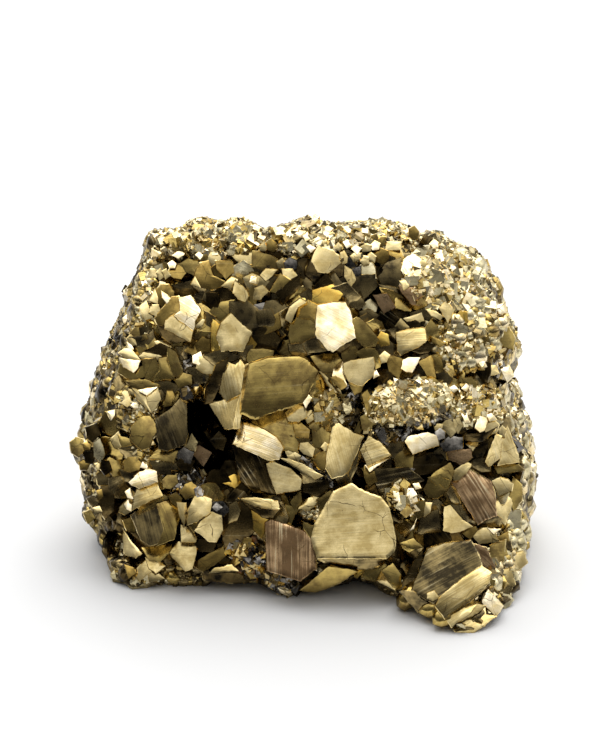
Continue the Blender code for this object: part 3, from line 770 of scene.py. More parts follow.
OUTLINE = (
    (150, 231), (167, 228), (177, 231), (190, 222), (203, 218), (218, 221), (233, 217), (247, 221),
    (262, 229), (280, 229), (297, 221), (315, 217), (328, 226), (350, 223), (385, 221), (410, 227),
    (421, 234), (437, 232), (457, 245), (473, 249), (487, 261), (492, 275), (500, 286), (503, 303),
    (512, 320), (521, 344), (516, 364), (513, 378), (521, 394), (519, 403), (532, 422), (530, 433),
    (534, 458), (537, 480), (529, 520), (528, 552), (519, 567), (512, 597), (500, 614), (476, 632),
    (456, 632), (435, 620), (412, 604), (381, 590), (356, 578), (323, 589), (301, 590), (287, 597),
    (260, 582), (238, 580), (200, 581), (169, 579), (153, 586), (133, 588), (113, 581), (106, 560),
    (105, 546), (85, 519), (83, 492), (82, 470), (71, 450), (82, 427), (85, 410), (93, 387),
    (103, 351), (120, 320), (125, 291), (135, 279), (144, 248),
)


def hollow_depth(x: np.ndarray, y: np.ndarray) -> np.ndarray:
    """Depth of the hollows at places on the sheet, in metres: the sum of one bell curve for each.

    Args:
        x: places on the sheet, to the right.
        y: places on the sheet, down.

    Returns:
        The depth at each.
    """
    depth = np.zeros(np.shape(x))
    for hollow in HOLLOWS:
        away = ((x - hollow.x) ** 2 + (y - hollow.y) ** 2) / hollow.radius ** 2
        depth += hollow.depth * MM * np.exp(-away)
    return depth


def rim_share(x: float, y: float) -> float:
    """How far a place on the sheet lies on the way from the heart to the outline, as a share.

    Args:
        x: the place, to the right.
        y: the place, down.

    Returns:
        0 at the heart, 1 on the outline.
    """
    away = np.array(OUTLINE, float) - SHEET.heart
    side, down = x - SHEET.heart[0], y - SHEET.heart[1]
    full = np.interp(math.atan2(down, side), np.arctan2(away[:, 1], away[:, 0]),
                     np.hypot(away[:, 0], away[:, 1]), period=math.tau)
    return math.hypot(side, down) / float(full)


@dataclass
class Mass:
    """The lumpy mass under the crystals: rings from the middle of the front, over the rim, to the back.

    Attributes:
        columns: points along a ring.
        front_rows: rings on the front.
        back_rows: rings on the back.
        girth_share: size of the mass's outline over the specimen's; the druse makes up the rest.
        girth: relief of the rim at the top and sides.
        back: relief of the rearmost point.
        corner_softening: how far the back's rings are rounded, in corners of the outline.
        lumps: height and width of the lumps, coarse ones last.
        lump_force: by how much the lumps' heights are raised.
        bead_width: width of the beads of druse on the crust.
        bead_height: their height.
        small_bead: width and height of the second, smaller beads, as a share of the first.
        foot_level: heights under this are brought to the standing plane.
        insets: at shares of the way to the rim, what is added to the front's relief, in millimetres; it
            is below nothing, to leave room for the crystals.
        front_from: size of the first ring, as a share of the outline.
        back_span: area of the back's first and last rings, as shares of the outline's.
        blend_from: size of the ring from which the front's relief blends to the rim's.
        blend_width: over how much of the size it does.
        shelf: relief of the back's edge at the foot, as a share of the girth's.
        shelf_from: size of the back's ring from which the foot draws in to it.
        shelf_width: over how much of the size it does.
        crust_from: ring from which the mass is crust, as a share of the front's rings.
        crust_width: over how many rings its beads rise, as a share of the front's.
        druse_from: the first ring that carries druse, as a share of the front's.
    """

    columns: int = 480
    front_rows: int = 56
    back_rows: int = 84
    girth_share: float = 0.974
    girth: float = -14.0 * MM
    back: float = -26.0 * MM
    corner_softening: float = 3.5
    lumps: tuple[tuple[float, float], ...] = ((1.0 * MM, 6.0 * MM), (1.6 * MM, 13.0 * MM))
    lump_force: float = 2.2
    bead_width: float = 2.9 * MM
    bead_height: float = 0.8 * MM
    small_bead: float = 0.45
    foot_level: float = 0.15 * MM
    insets: tuple[tuple[float, float], ...] = (
        (0.2, -6.0), (0.4, -6.0), (0.58, -6.0), (0.74, -5.0), (0.86, -2.2), (0.94, -1.0), (1.0, 0.0))
    front_from: float = 0.04
    back_span: tuple[float, float] = (0.985, 0.0016)
    blend_from: float = 0.86
    blend_width: float = 0.14
    shelf: float = 0.2
    shelf_from: float = 0.97
    shelf_width: float = 0.07
    crust_from: float = 0.85
    crust_width: float = 0.1
    druse_from: float = 0.84

    def girth_relief(self, x: np.ndarray, y: np.ndarray) -> np.ndarray:
        """Relief of the outline: well back at the top and sides, and forward to the foot below.

        Args:
            x: places on the outline, to the right.
            y: places on the outline, down.

        Returns:
            The relief, in metres.
        """
        down = (y - SHEET.heart[1]) / np.hypot(x - SHEET.heart[0], y - SHEET.heart[1])
        resting = np.where(y > SHEET.middle[1], SHEET.floor_relief(y), self.girth)
        return np.maximum(self.girth * (1.0 - np.maximum(down, 0.0) ** 1.5), resting)

    def softened(self, outline: np.ndarray, scale: np.ndarray) -> np.ndarray:
        """The outline rounded more the smaller its ring is: its fine waves fade as in a bell-curve blur.

        Args:
            outline: shape (columns, 2).
            scale: size of each ring, shape (rows).

        Returns:
            One outline for each ring, shape (rows, columns, 2).
        """
        waves = np.fft.fft(outline[:, 0] + 1j * outline[:, 1])
        pitch = np.fft.fftfreq(len(outline)) * 2.0 * math.pi
        width = self.corner_softening * np.sqrt(1.0 - scale) * len(outline) / len(OUTLINE)
        faded = waves * np.exp(-0.5 * (pitch * width[:, None]) ** 2)
        round_outline = np.fft.ifft(faded, axis=1)
        return np.stack([round_outline.real, round_outline.imag], -1)

    def surface(self) -> np.ndarray:
        """Points of the mass, shape (rows, columns, 3).

        A ring is the outline scaled about the sheet's heart. In front its relief is the dome less the
        hollows and an inset, and it blends to the rim's relief near the edge. At the back it follows a
        rounded profile. Lumps and beads then push each point out from the middle.
        """
        outline = resampled(np.array(OUTLINE, float), self.columns - len(OUTLINE))
        # The last point comes twice, and the druse's random places are drawn over rings of this count.
        outline = np.vstack([outline, outline[-1:]])
        front = np.linspace(self.front_from, 1.0, self.front_rows)
        back = np.sqrt(np.linspace(*self.back_span, self.back_rows))
        scale = np.concatenate([front, back])
        shapes = self.softened(outline, np.where(np.arange(len(scale)) < self.front_rows, 1.0, scale))
        heart = np.array(SHEET.heart)
        spot = heart + (shapes - heart) * self.girth_share * scale[:, None, None]
        x, y = spot[..., 0], spot[..., 1]
        rim = self.girth_relief(shapes[..., 0], shapes[..., 1])
        inset = np.interp(front, *zip(*self.insets))[:, None] * MM
        blend = np.maximum(0.0, (front - self.blend_from) / self.blend_width)[:, None]
        rows = self.front_rows
        dome = SHEET.front_relief(x[:rows], y[:rows]) + inset - hollow_depth(x[:rows], y[:rows])
        dome = dome * (1.0 - blend) + rim[:rows] * blend
        shelf = np.minimum(rim[rows:], self.girth * self.shelf)
        late = np.clip((self.shelf_from - back) / self.shelf_width, 0.0, 1.0)[:, None]
        edge = rim[rows:] * (1.0 - late) + shelf * late
        bulge = np.sqrt(np.maximum(1.0 - back ** 2.6, 0.0))[:, None]
        relief = np.concatenate([dome, edge + (self.back - edge) * bulge])
        points = SHEET.place(x, y, relief)
        out = unit(points - SHEET.place(*SHEET.heart, self.girth))
        rise = sum(height * self.lump_force * ripple(points, width, 11) for height, width in self.lumps)
        rise = rise * (1.0 - scale ** 6)[:, None]
        past = np.arange(len(scale)) - rows * self.crust_from
        crust = np.clip(past / (rows * self.crust_width), 0.0, 1.0)[:, None]
        bead = beads(points, self.bead_width, 5)
        bead = bead + self.small_bead * beads(points, self.bead_width * self.small_bead, 6)
        bead = bead * self.bead_height * crust
        points = points + out * (rise + bead)[..., None]
        low = points[..., 2] < self.foot_level
        points[..., 2] = np.where(low, 0.0, points[..., 2])
        return points

    def piece(self, materials: dict[Finish, bpy.types.Material]) -> tuple[bpy.types.Object, np.ndarray]:
        """Make the mass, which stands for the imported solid.

        Args:
            materials: the material of every finish.

        Returns:
            The object, and its surface as rings of points.
        """
        rings = self.surface()
        batch = Batch("crust_mass", sharp_from=math.radians(50.0))
        rows, columns = rings.shape[:2]
        turn = np.arange(columns) * self.bead_width / MM
        grain = np.stack(np.broadcast_arrays(turn[None, :], np.arange(rows)[:, None] * 0.45), -1)
        stripe = np.where(np.arange(rows) < self.front_rows * self.crust_from, 0.0, 0.8)
        bands = np.full(rows + 1, slot_of(Finish.CRUST))
        # The front of the mass, seen only deep in the gaps between the crystals, is painted dark as shade.
        bands[:int(self.front_rows * self.crust_from)] = slot_of(Finish.DARK)
        batch.add_rings(rings, rings[0].mean(0), rings[-1].mean(0), bands, grain, stripe, 0.5)
        thing = batch.piece(materials)
        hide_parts(CAD_NODE)
        return thing, rings


# ---------------------------------------------------------------- the large crystals


@dataclass(frozen=True)
class Block:
    """A large crystal of the front.

    Attributes:
        name: what the crystal is called.
        finish: finish of its face.
        lift: how far its face stands over the mass's front, in millimetres.
        lean_right: how far the face looks to the right, in degrees.
        lean_up: how far it looks up, in degrees.
        corners: the face's corners on the sheet, each as its two places in turn.
        grain: the way its striations run on the sheet, in degrees from the right, turning down.
        stripe: how strong they are.
    """

    name: str
    finish: Finish
    lift: float
    lean_right: float
    lean_up: float
    corners: tuple[float, ...]
    grain: float = 0.0
    stripe: float = 0.12

    @property
    def outline(self) -> np.ndarray:
        """The face's corners on the sheet, shape (n, 2)."""
        return np.array(self.corners, float).reshape(-1, 2)


BLOCKS = (
    # upper left
    Block("gold wing", Finish.GOLD, 0.6, -15, 12, (155, 318, 163, 309, 172, 298, 178, 297, 181, 311, 172,
          316, 163, 324, 159, 326)),
    Block("white wing", Finish.BRIGHT, 1.0, 5, 25, (180, 299, 190, 297, 199, 308, 200, 311, 194, 321, 193,
          328, 175, 315, 181, 311), 32, 0.5),
    Block("pale wing", Finish.PALE, 0.9, 0, 16, (166, 321, 175, 315, 193, 328, 190, 341, 165, 328)),
    Block("wing underside", Finish.DARK, -0.2, 0, -14, (158, 326, 165, 328, 190, 341, 170, 342, 163, 336)),
    Block("high gold", Finish.GOLD, 0.2, -5, 12, (200, 264, 208, 262, 212, 276, 228, 283, 212, 289, 203, 287,
          195, 280, 196, 272)),
    Block("high underside", Finish.SHADE, -0.7, 0, -15, (193, 286, 203, 287, 212, 289, 221, 287, 217, 293,
          203, 294)),
    Block("high grey", Finish.PALE, -0.5, -5, 15, (209, 254, 215, 253, 220, 256, 217, 263, 212, 266, 208,
          260)),
    Block("high tan", Finish.GOLD, -0.4, 8, 14, (217, 262, 230, 262, 233, 266, 232, 272, 226, 277, 218,
          268)),
    Block("pale fin", Finish.PALE, 0.1, 15, 15, (222, 286, 232, 278, 237, 280, 236, 292, 228, 287)),
    Block("pale fin tip", Finish.PALE, 0.4, 25, 18, (236, 281, 246, 291, 248, 296, 245, 301, 240, 299, 234,
          292)),
    Block("fin hollow", Finish.DARK, -1.4, 0, -6, (217, 295, 222, 288, 232, 290, 240, 299, 234, 301, 218,
          298)),
    Block("rim tan", Finish.PALE, -0.9, 0, 19, (232, 252, 249, 252, 251, 260, 247, 264, 236, 257)),
    Block("olive slope", Finish.OLIVE, -0.8, 10, 4, (255, 254, 270, 257, 276, 262, 283, 270, 279, 277, 268,
          269, 255, 265)),
    Block("rim gold", Finish.GOLD, 0.2, -12, 12, (157, 290, 161, 285, 168, 285, 173, 292, 172, 298, 163, 307,
          157, 300)),
    Block("shaded gold", Finish.OLIVE, -1.4, -8, 8, (213, 312, 218, 306, 232, 303, 232, 312, 222, 320, 215,
          318)),
    Block("pale plate", Finish.PALE, 0.6, 0, 15, (231, 314, 243, 326, 251, 332, 243, 350, 222, 350, 217, 336,
          222, 323)),
    Block("dark prism", Finish.DARK, -1.3, -20, -4, (208, 296, 215, 296, 216, 299, 213, 312, 203, 318, 201,
          308)),
    Block("honey edge", Finish.HONEY, -0.3, -22, 8, (212, 320, 218, 325, 221, 343, 221, 350, 212, 352)),
    Block("dark slope", Finish.SHADE, -0.8, 14, 3, (232, 304, 246, 303, 256, 310, 265, 320, 250, 331, 243,
          326, 232, 312)),
    Block("dark floor", Finish.DARK, -2.0, 5, -6, (251, 332, 268, 330, 277, 340, 272, 350, 250, 350)),
    # upper middle
    Block("cracked leaf", Finish.PALE, 0.1, 5, 18, (318, 247, 331, 251, 338, 256, 340, 262, 328, 272, 319,
          271, 312, 260)),
    Block("honey cap", Finish.HONEY, -0.9, 0, 16, (315, 292, 332, 287, 340, 294, 333, 304, 320, 306, 315,
          301)),
    Block("white tablet", Finish.BRIGHT, 1.5, 4, 24, (318, 306, 333, 303, 345, 303, 350, 312, 355, 337, 345,
          342, 333, 350, 328, 349, 316, 335, 317, 322), 28, 0.4),
    Block("gold neighbour", Finish.GOLD, 0.4, -12, 12, (297, 306, 308, 301, 318, 306, 317, 323, 310, 318,
          297, 317)),
    Block("neighbour foot", Finish.OLIVE, -0.2, -10, 8, (291, 325, 297, 318, 306, 318, 316, 323, 316, 335,
          303, 341, 291, 343, 289, 335)),
    Block("grey fin", Finish.PALE, 0.5, -20, 22, (304, 302, 300, 299, 290, 307, 286, 319, 290, 321, 297,
          306)),
    Block("gold foot", Finish.SHADE, -0.5, 0, -4, (303, 341, 316, 335, 323, 342, 325, 350, 308, 352)),
    Block("block top", Finish.PALE, 0.4, 0, 19, (283, 270, 292, 270, 296, 275, 289, 279, 284, 275)),
    Block("block left", Finish.OLIVE, 0.1, -25, 10, (281, 275, 289, 280, 277, 292, 271, 291)),
    Block("block right", Finish.DARK, -0.3, 20, -6, (277, 293, 290, 281, 299, 276, 299, 285, 284, 302)),
    Block("grey grain", Finish.DRUSE, -0.9, 0, 16, (361, 268, 366, 263, 371, 264, 374, 277, 365, 280, 358,
          278)),
    Block("grey grain foot", Finish.SHADE, -1.3, 5, 3, (353, 282, 362, 279, 372, 278, 374, 285, 362, 297,
          358, 292)),
    Block("slanting prism", Finish.OLIVE, 0.3, 18, 6, (350, 322, 357, 318, 363, 322, 379, 340, 376, 345, 366,
          347, 355, 337)),
    Block("dark lozenge", Finish.SHADE, -1.4, -10, 9, (380, 278, 387, 266, 398, 262, 401, 272, 397, 286, 391,
          288)),
    Block("lozenge foot", Finish.SHADE, -1.5, 5, 6, (382, 287, 399, 292, 400, 298, 385, 292)),
    # upper right
    Block("tan step", Finish.GOLD, -0.5, 8, 19, (388, 250, 400, 252, 402, 258, 399, 263, 389, 257)),
    Block("striped white", Finish.BRIGHT, 0.2, 6, 30, (402, 270, 405, 260, 409, 257, 417, 265, 412, 272, 408,
          279), 60, 0.7),
    Block("pink lens", Finish.BROWN, -0.2, 8, 14, (400, 286, 412, 288, 428, 296, 430, 299, 427, 305, 413,
          304, 403, 293)),
    Block("tan lens", Finish.PALE, 0.0, 5, 16, (429, 305, 434, 300, 446, 299, 441, 304)),
    Block("pale tooth", Finish.PALE, 0.3, 20, 20, (440, 308, 445, 303, 454, 309, 448, 321)),
    Block("pale block", Finish.PALE, 0.8, -4, 18, (397, 333, 410, 330, 424, 328, 426, 340, 419, 346, 401,
          353, 398, 350), -4, 0.6),
    Block("block side", Finish.OLIVE, 0.0, 30, 0, (425, 330, 432, 321, 440, 330, 430, 341, 425, 337)),
    Block("white chip", Finish.BRIGHT, 0.6, 0, 27, (404, 360, 409, 358, 419, 358, 412, 371, 408, 371, 402,
          368)),
    Block("tan chip", Finish.GOLD, 0.2, 15, 18, (420, 362, 431, 356, 435, 376, 428, 375)),
    Block("gold chip", Finish.GOLD, 0.0, -6, 12, (386, 357, 395, 357, 403, 360, 402, 368, 398, 377, 390,
          371)),
    # left
    Block("left white", Finish.BRIGHT, 0.4, -10, 26, (121, 359, 134, 361, 139, 361, 137, 367, 133, 371, 124,
          366)),
    Block("left cap", Finish.PALE, 0.2, -6, 20, (120, 353, 124, 350, 131, 350, 139, 359, 128, 359)),
    Block("left gold", Finish.OLIVE, -0.2, -14, 9, (120, 365, 130, 371, 142, 367, 145, 376, 133, 380, 119,
          372)),
    Block("left shade", Finish.DARK, -0.8, 0, -4, (146, 351, 160, 346, 169, 350, 169, 355, 160, 358, 152,
          353)),
    Block("left bronze", Finish.OLIVE, -0.2, -16, 4, (142, 360, 155, 359, 160, 371, 153, 379, 146, 378)),
    Block("left olive", Finish.OLIVE, 0.1, 0, 9, (160, 359, 168, 357, 174, 378, 153, 380, 160, 371)),
    Block("left edge", Finish.OLIVE, 0.0, 24, 4, (169, 349, 175, 352, 182, 370, 178, 376, 174, 375, 168,
          357)),
    Block("left lens", Finish.OLIVE, -0.2, -4, 10, (125, 381, 145, 380, 158, 385, 155, 388, 139, 390, 131,
          386)),
    Block("left fang", Finish.PALE, 0.5, -16, 18, (132, 388, 146, 394, 150, 411, 139, 400)),
    Block("left fang side", Finish.PALE, 0.5, 16, 16, (147, 394, 157, 387, 160, 398, 156, 406, 152, 411, 149,
          405)),
    Block("olive pentagon", Finish.OLIVE, 0.6, -14, 17, (132, 428, 142, 416, 150, 416, 157, 428, 148, 447,
          142, 449, 131, 440)),
    Block("olive shield", Finish.SHADE, 0.3, 10, 8, (157, 419, 171, 409, 180, 399, 186, 405, 187, 434, 185,
          443, 168, 450, 160, 448, 158, 437), 70, 0.3),
    Block("pentagon foot", Finish.SHADE, -0.5, -6, -8, (121, 450, 142, 450, 150, 453, 140, 457, 127, 457)),
    Block("shield foot", Finish.OLIVE, -0.4, 4, 17, (151, 457, 158, 451, 176, 452, 173, 461, 163, 459)),
    Block("shield base", Finish.SHADE, -1.2, 4, 4, (153, 461, 173, 462, 174, 467, 168, 471, 158, 471)),
    Block("gold hexagon", Finish.GOLD, 0.0, -10, 15, (124, 463, 128, 458, 136, 457, 141, 463, 138, 469, 131,
          471, 125, 470)),
    # lower left
    Block("white terrace", Finish.BRIGHT, 0.7, -6, 25, (130, 482, 139, 473, 149, 469, 156, 472, 157, 481,
          139, 487, 132, 484), -18, 0.5),
    Block("pale terrace", Finish.PALE, 1.0, -6, 20, (139, 487, 156, 482, 162, 495, 133, 508, 135, 496), -18,
          0.5),
    Block("striped shield", Finish.SHADE, 1.0, -8, 14, (132, 516, 141, 508, 158, 504, 162, 511, 165, 530,
          158, 543, 150, 545, 142, 540, 135, 523), 76, 0.5),
    Block("shield flank", Finish.OLIVE, 0.8, 16, 18, (158, 504, 171, 499, 178, 507, 179, 516, 174, 538, 159,
          544, 165, 530), 70, 0.6),
    Block("dark scoop", Finish.DARK, -0.6, -20, -8, (127, 531, 136, 534, 148, 545, 140, 552, 131, 546)),
    Block("pale crescent", Finish.PALE, 0.4, -18, 22, (123, 529, 130, 541, 140, 553, 135, 557, 125, 553)),
    Block("lower lens", Finish.OLIVE, 0.1, 0, 22, (143, 548, 171, 545, 168, 553, 159, 561, 150, 560)),
    Block("gold button", Finish.GOLD, 0.2, -10, 6, (124, 521, 131, 518, 135, 525, 134, 531, 127, 530)),
    Block("upper plate", Finish.PALE, 0.9, 2, 19, (195, 497, 203, 496, 211, 499, 210, 512, 196, 521, 188,
          523, 189, 511)),
    Block("lower plate", Finish.PALE, 1.2, 4, 18, (196, 530, 201, 522, 211, 512, 221, 516, 222, 530, 216,
          541, 210, 541)),
    Block("green strip", Finish.PALE, 0.5, 14, 14, (178, 503, 186, 503, 187, 518, 184, 525, 180, 514)),
    Block("tan plate", Finish.PALE, 0.3, 4, 16, (182, 526, 190, 529, 196, 538, 195, 541, 182, 541)),
    Block("gold tooth", Finish.PALE, 1.3, 0, 19, (179, 542, 196, 542, 195, 556, 192, 568, 185, 570, 178, 562,
          170, 553)),
    Block("gold roof", Finish.GOLD, 0.2, -6, 8, (193, 564, 223, 547, 225, 555, 216, 563, 203, 571)),
    Block("foot crystal", Finish.PALE, 0.3, -14, 20, (134, 573, 140, 566, 146, 560, 150, 571, 143, 577, 139,
          580)),
    Block("foot crystal side", Finish.PALE, 0.3, 10, 16, (149, 571, 156, 572, 163, 578, 150, 581)),
    Block("foot crystal top", Finish.PALE, 0.5, 0, 24, (146, 558, 158, 561, 164, 566, 156, 572, 150, 568)),
    # middle
    Block("prism shade", Finish.DARK, -0.4, -34, 0, (226, 360, 222, 378, 210, 402, 205, 403, 206, 390, 217,
          365)),
    Block("upper prism", Finish.PALE, 0.8, -6, 16, (226, 362, 236, 366, 240, 360, 244, 365, 240, 393, 226,
          400, 220, 392), 78, 0.8),
    Block("lower prism", Finish.PALE, 0.8, -10, 16, (210, 404, 226, 400, 240, 393, 238, 410, 233, 428, 225,
          428), 78, 0.8),
    Block("prism edge", Finish.PALE, 0.9, 20, 18, (244, 366, 249, 364, 244, 395, 238, 428, 233, 428, 241,
          393), 78, 0.5),
    Block("prism roof", Finish.SHADE, -0.3, -4, -4, (205, 356, 222, 350, 240, 357, 217, 366, 211, 362)),
    Block("great olive", Finish.OLIVE, 1.2, 6, 12, (250, 364, 268, 358, 300, 356, 308, 360, 318, 371, 307,
          395, 303, 402, 270, 412, 255, 418, 242, 412, 246, 390), -5, 0.25),
    Block("great flank", Finish.OLIVE, 0.0, 34, -2, (312, 388, 318, 371, 330, 386, 317, 402, 310, 400)),
    Block("white chip low", Finish.BRIGHT, 0.8, 0, 26, (303, 396, 307, 394, 311, 398, 306, 406, 303, 400)),
    Block("striped roof", Finish.BRIGHT, 1.0, 4, 23.5, (241, 421, 252, 424, 277, 438, 283, 447, 279, 457,
          268, 459, 247, 449, 234, 442, 238, 432), 20, 1.0),
    Block("roof shade", Finish.DARK, -1.2, -10, -8, (234, 445, 246, 452, 262, 470, 275, 492, 255, 490, 243,
          478), 58, 0.5),
    Block("roof flank", Finish.DARK, -0.4, 6, -4, (252, 458, 262, 456, 267, 464, 277, 493, 262, 490), 64,
          0.5),
    Block("pale kite", Finish.PALE, 0.8, 6, 14, (267, 464, 272, 462, 290, 469, 301, 480, 300, 489, 277, 493,
          272, 480), 12, 0.3),
    Block("pale wedge", Finish.PALE, 0.6, -4, 20, (239, 498, 252, 498, 277, 501, 279, 508, 268, 508, 255,
          505)),
    Block("wedge foot", Finish.DARK, -0.6, 0, -6, (243, 503, 278, 509, 271, 517, 263, 516)),
    Block("small pale", Finish.PALE, 0.0, -6, 16, (286, 412, 295, 405, 305, 408, 306, 416, 298, 421, 289,
          420)),
    Block("small gold", Finish.GOLD, -0.2, 0, 18, (294, 423, 300, 423, 309, 430, 308, 437, 297, 436)),
    Block("cave brown", Finish.BROWN, -2.6, 0, 4, (194, 451, 199, 449, 207, 454, 203, 461)),
    Block("cave hexagon", Finish.DARK, -3.0, -8, 0, (213, 473, 222, 473, 227, 482, 222, 487, 216, 487, 209,
          480)),
    Block("cave plate", Finish.DARK, -3.2, 6, -4, (222, 473, 227, 464, 237, 464, 239, 474, 233, 480, 227,
          481)),
    Block("white blade", Finish.BRIGHT, 0.4, -6, 27, (342, 362, 344, 373, 346, 384, 333, 375, 335, 368)),
    Block("green tablet", Finish.PALE, 0.8, 6, 16, (344, 364, 352, 361, 373, 358, 374, 366, 372, 376, 362,
          385, 349, 381, 344, 370)),
    Block("gold leaf", Finish.GOLD, 0.2, 10, 15, (363, 395, 367, 391, 373, 403, 371, 410, 368, 413)),
    Block("gold drop", Finish.GOLD, 0.2, -4, 10, (317, 402, 333, 390, 341, 405, 333, 420, 325, 425, 320,
          415)),
    Block("pale lance", Finish.PALE, 1.2, -2, 17, (333, 425, 338, 423, 353, 433, 362, 437, 355, 455, 349,
          470, 342, 475, 332, 477, 326, 468, 328, 452, 332, 432), 74, 0.5),
    Block("lance flank", Finish.GOLD, 0.2, -24, 11, (311, 459, 326, 450, 327, 468, 318, 469)),
    Block("striped tile", Finish.PALE, 0.7, 4, 18, (361, 450, 369, 437, 380, 442, 390, 454, 368, 464), -18,
          0.7),
    Block("tile edge", Finish.BRIGHT, 0.5, 4, 30, (366, 465, 380, 459, 390, 457, 370, 470), -22, 0.3),
    Block("tile shade", Finish.SHADE, -0.8, 4, -6, (372, 471, 408, 470, 420, 480, 400, 488, 382, 492), -10,
          0.8),
    Block("pale brick", Finish.BRIGHT, 1.0, 0, 21, (406, 441, 408, 437, 428, 433, 436, 436, 438, 444, 413,
          453)),
    # lower middle
    Block("great pale", Finish.PALE, 2.2, 0, 17, (334, 492, 351, 484, 365, 492, 380, 497, 388, 507, 391, 517,
          395, 542, 394, 551, 386, 558, 318, 558, 312, 540, 315, 525), -4, 0.35),
    Block("great underside", Finish.SHADE, 1.0, 0, -22, (317, 559, 386, 558, 381, 565, 365, 569, 344, 566,
          327, 563), 0, 0.3),
    Block("low wedge", Finish.OLIVE, 1.6, -8, -24, (301, 590, 328, 568, 348, 570, 356, 572, 340, 582, 323,
          589, 313, 591)),
    Block("low olive", Finish.OLIVE, 1.2, 10, 8, (383, 571, 393, 564, 400, 575, 401, 586, 396, 590)),
    Block("low pale", Finish.PALE, 1.2, -14, 24, (378, 580, 383, 571, 388, 578, 395, 590)),
    Block("brown shield", Finish.BROWN, 1.8, -6, 16, (266, 523, 270, 520, 303, 531, 311, 538, 315, 560, 315,
          568, 300, 580, 281, 574, 268, 570), 90, 1.0),
    Block("cave olive", Finish.DARK, -0.8, -10, -4, (228, 505, 241, 505, 250, 513, 252, 530, 240, 543, 226,
          545, 224, 535)),
    Block("honey wedge", Finish.HONEY, -0.2, 8, 8, (252, 511, 262, 518, 268, 520, 266, 527, 262, 537, 255,
          530)),
    Block("side gold", Finish.OLIVE, 0.8, -24, 4, (304, 523, 313, 527, 310, 537, 304, 528)),
    Block("low strip", Finish.PALE, 0.8, -4, 22, (215, 568, 233, 565, 237, 570, 210, 572)),
    # right
    Block("grey lump", Finish.LEAD, 0.2, 0, 14, (441, 444, 450, 436, 462, 438, 462, 448, 452, 450, 444,
          450)),
    Block("brown kite", Finish.BROWN, 0.2, 0, 6, (447, 450, 470, 450, 472, 457, 461, 464, 450, 459), 20,
          0.3),
    Block("pale thumb", Finish.PALE, 0.6, 10, 14, (455, 479, 454, 472, 460, 467, 468, 463, 471, 464, 466,
          472, 459, 479)),
    Block("cube top", Finish.OLIVE, 0.3, -6, 14, (430, 477, 438, 471, 450, 464, 453, 470, 451, 479, 441,
          475)),
    Block("cube right", Finish.OLIVE, 0.2, 12, 2, (430, 478, 441, 475, 451, 479, 446, 491, 436, 484)),
    Block("cube left", Finish.OLIVE, 0.0, -12, 5, (424, 490, 430, 478, 446, 491, 438, 497, 429, 497)),
    Block("purple shield", Finish.BROWN, 1.0, 12, 18, (452, 481, 461, 477, 470, 470, 474, 472, 490, 482, 494,
          493, 496, 515, 486, 518, 479, 523), 58, 1.0),
    Block("shield sill", Finish.SHADE, 0.2, 4, -12, (479, 523, 486, 519, 497, 517, 504, 522, 498, 526, 480,
          527)),
    Block("right pale", Finish.PALE, 0.4, 16, 16, (493, 481, 500, 478, 507, 480, 512, 484, 511, 490, 500,
          494)),
    Block("right green", Finish.PALE, 0.3, 20, 27, (496, 495, 512, 495, 511, 505, 505, 522, 497, 515)),
    Block("right pillar", Finish.PALE, 0.6, -6, 18, (486, 462, 496, 435, 501, 437, 499, 457, 489, 466), 70,
          0.4),
    Block("right tent", Finish.PALE, 0.4, 14, 20, (502, 437, 507, 427, 517, 454, 518, 461, 499, 464, 500,
          452), 60, 0.5),
    Block("right sill", Finish.OLIVE, -0.2, 10, 11, (495, 466, 518, 465, 523, 470, 498, 473)),
    Block("dark shelf", Finish.DARK, 0.0, 0, -10, (455, 435, 493, 434, 498, 427, 483, 441, 466, 440)),
    Block("pale triangle", Finish.PALE, 0.4, -2, 20, (445, 507, 450, 506, 463, 521, 471, 526, 459, 531, 451,
          532, 444, 530)),
    Block("brown panel", Finish.SHADE, -0.6, -4, -2, (423, 516, 437, 512, 439, 530, 420, 532)),
    Block("pale slat", Finish.PALE, 0.2, -16, 18, (426, 503, 431, 503, 429, 512, 424, 516)),
    Block("olive slat", Finish.OLIVE, -0.2, -10, 4, (413, 502, 424, 502, 424, 514, 415, 520, 411, 519)),
    Block("pale blade", Finish.OLIVE, -0.2, 0, 16, (401, 543, 413, 539, 422, 547, 413, 548)),
    Block("tan kite", Finish.PALE, 0.4, 4, 15, (473, 536, 480, 529, 487, 528, 495, 535, 498, 541, 480, 543)),
    Block("tan kite side", Finish.GOLD, 0.2, 14, 10, (497, 538, 507, 533, 508, 541, 502, 545)),
    Block("brown strip", Finish.BROWN, 0.6, 24, 4, (471, 543, 486, 549, 495, 569, 489, 572, 481, 565), 40,
          0.6),
    Block("right flank", Finish.OLIVE, 0.2, 22, 14, (491, 546, 505, 541, 503, 560, 497, 569, 492, 558)),
    # front corner
    Block("corner shield", Finish.SHADE, 1.4, -4, 19, (428, 549, 440, 545, 470, 541, 478, 555, 481, 565, 441,
          598, 434, 603, 412, 590, 421, 567), -28, 0.5),
    Block("corner pale", Finish.PALE, 1.7, 0, 19, (481, 567, 490, 573, 488, 583, 470, 598, 445, 617, 436,
          606, 442, 596, 460, 581), -32, 0.8),
    Block("corner band", Finish.PALE, 2.0, 0, 29, (446, 617, 470, 600, 476, 603, 470, 612, 452, 625), -32,
          0.6),
    Block("corner toe", Finish.PALE, 2.8, 2, 29, (452, 625, 470, 611, 485, 603, 485, 615, 495, 616, 484, 625,
          474, 631, 465, 631, 456, 631), -32, 0.4),
    Block("corner white", Finish.BRIGHT, 2.0, 10, 26, (484, 594, 488, 591, 502, 606, 496, 615, 483, 602)),
    Block("corner wall", Finish.DARK, 0.2, -20, 0, (400, 588, 414, 562, 422, 550, 421, 567, 412, 590)),
    Block("corner keel", Finish.SHADE, 1.1, -14, -20, (401, 592, 412, 592, 446, 618, 452, 626, 444, 623, 419,
          612)),
    # slivers, beads and chips
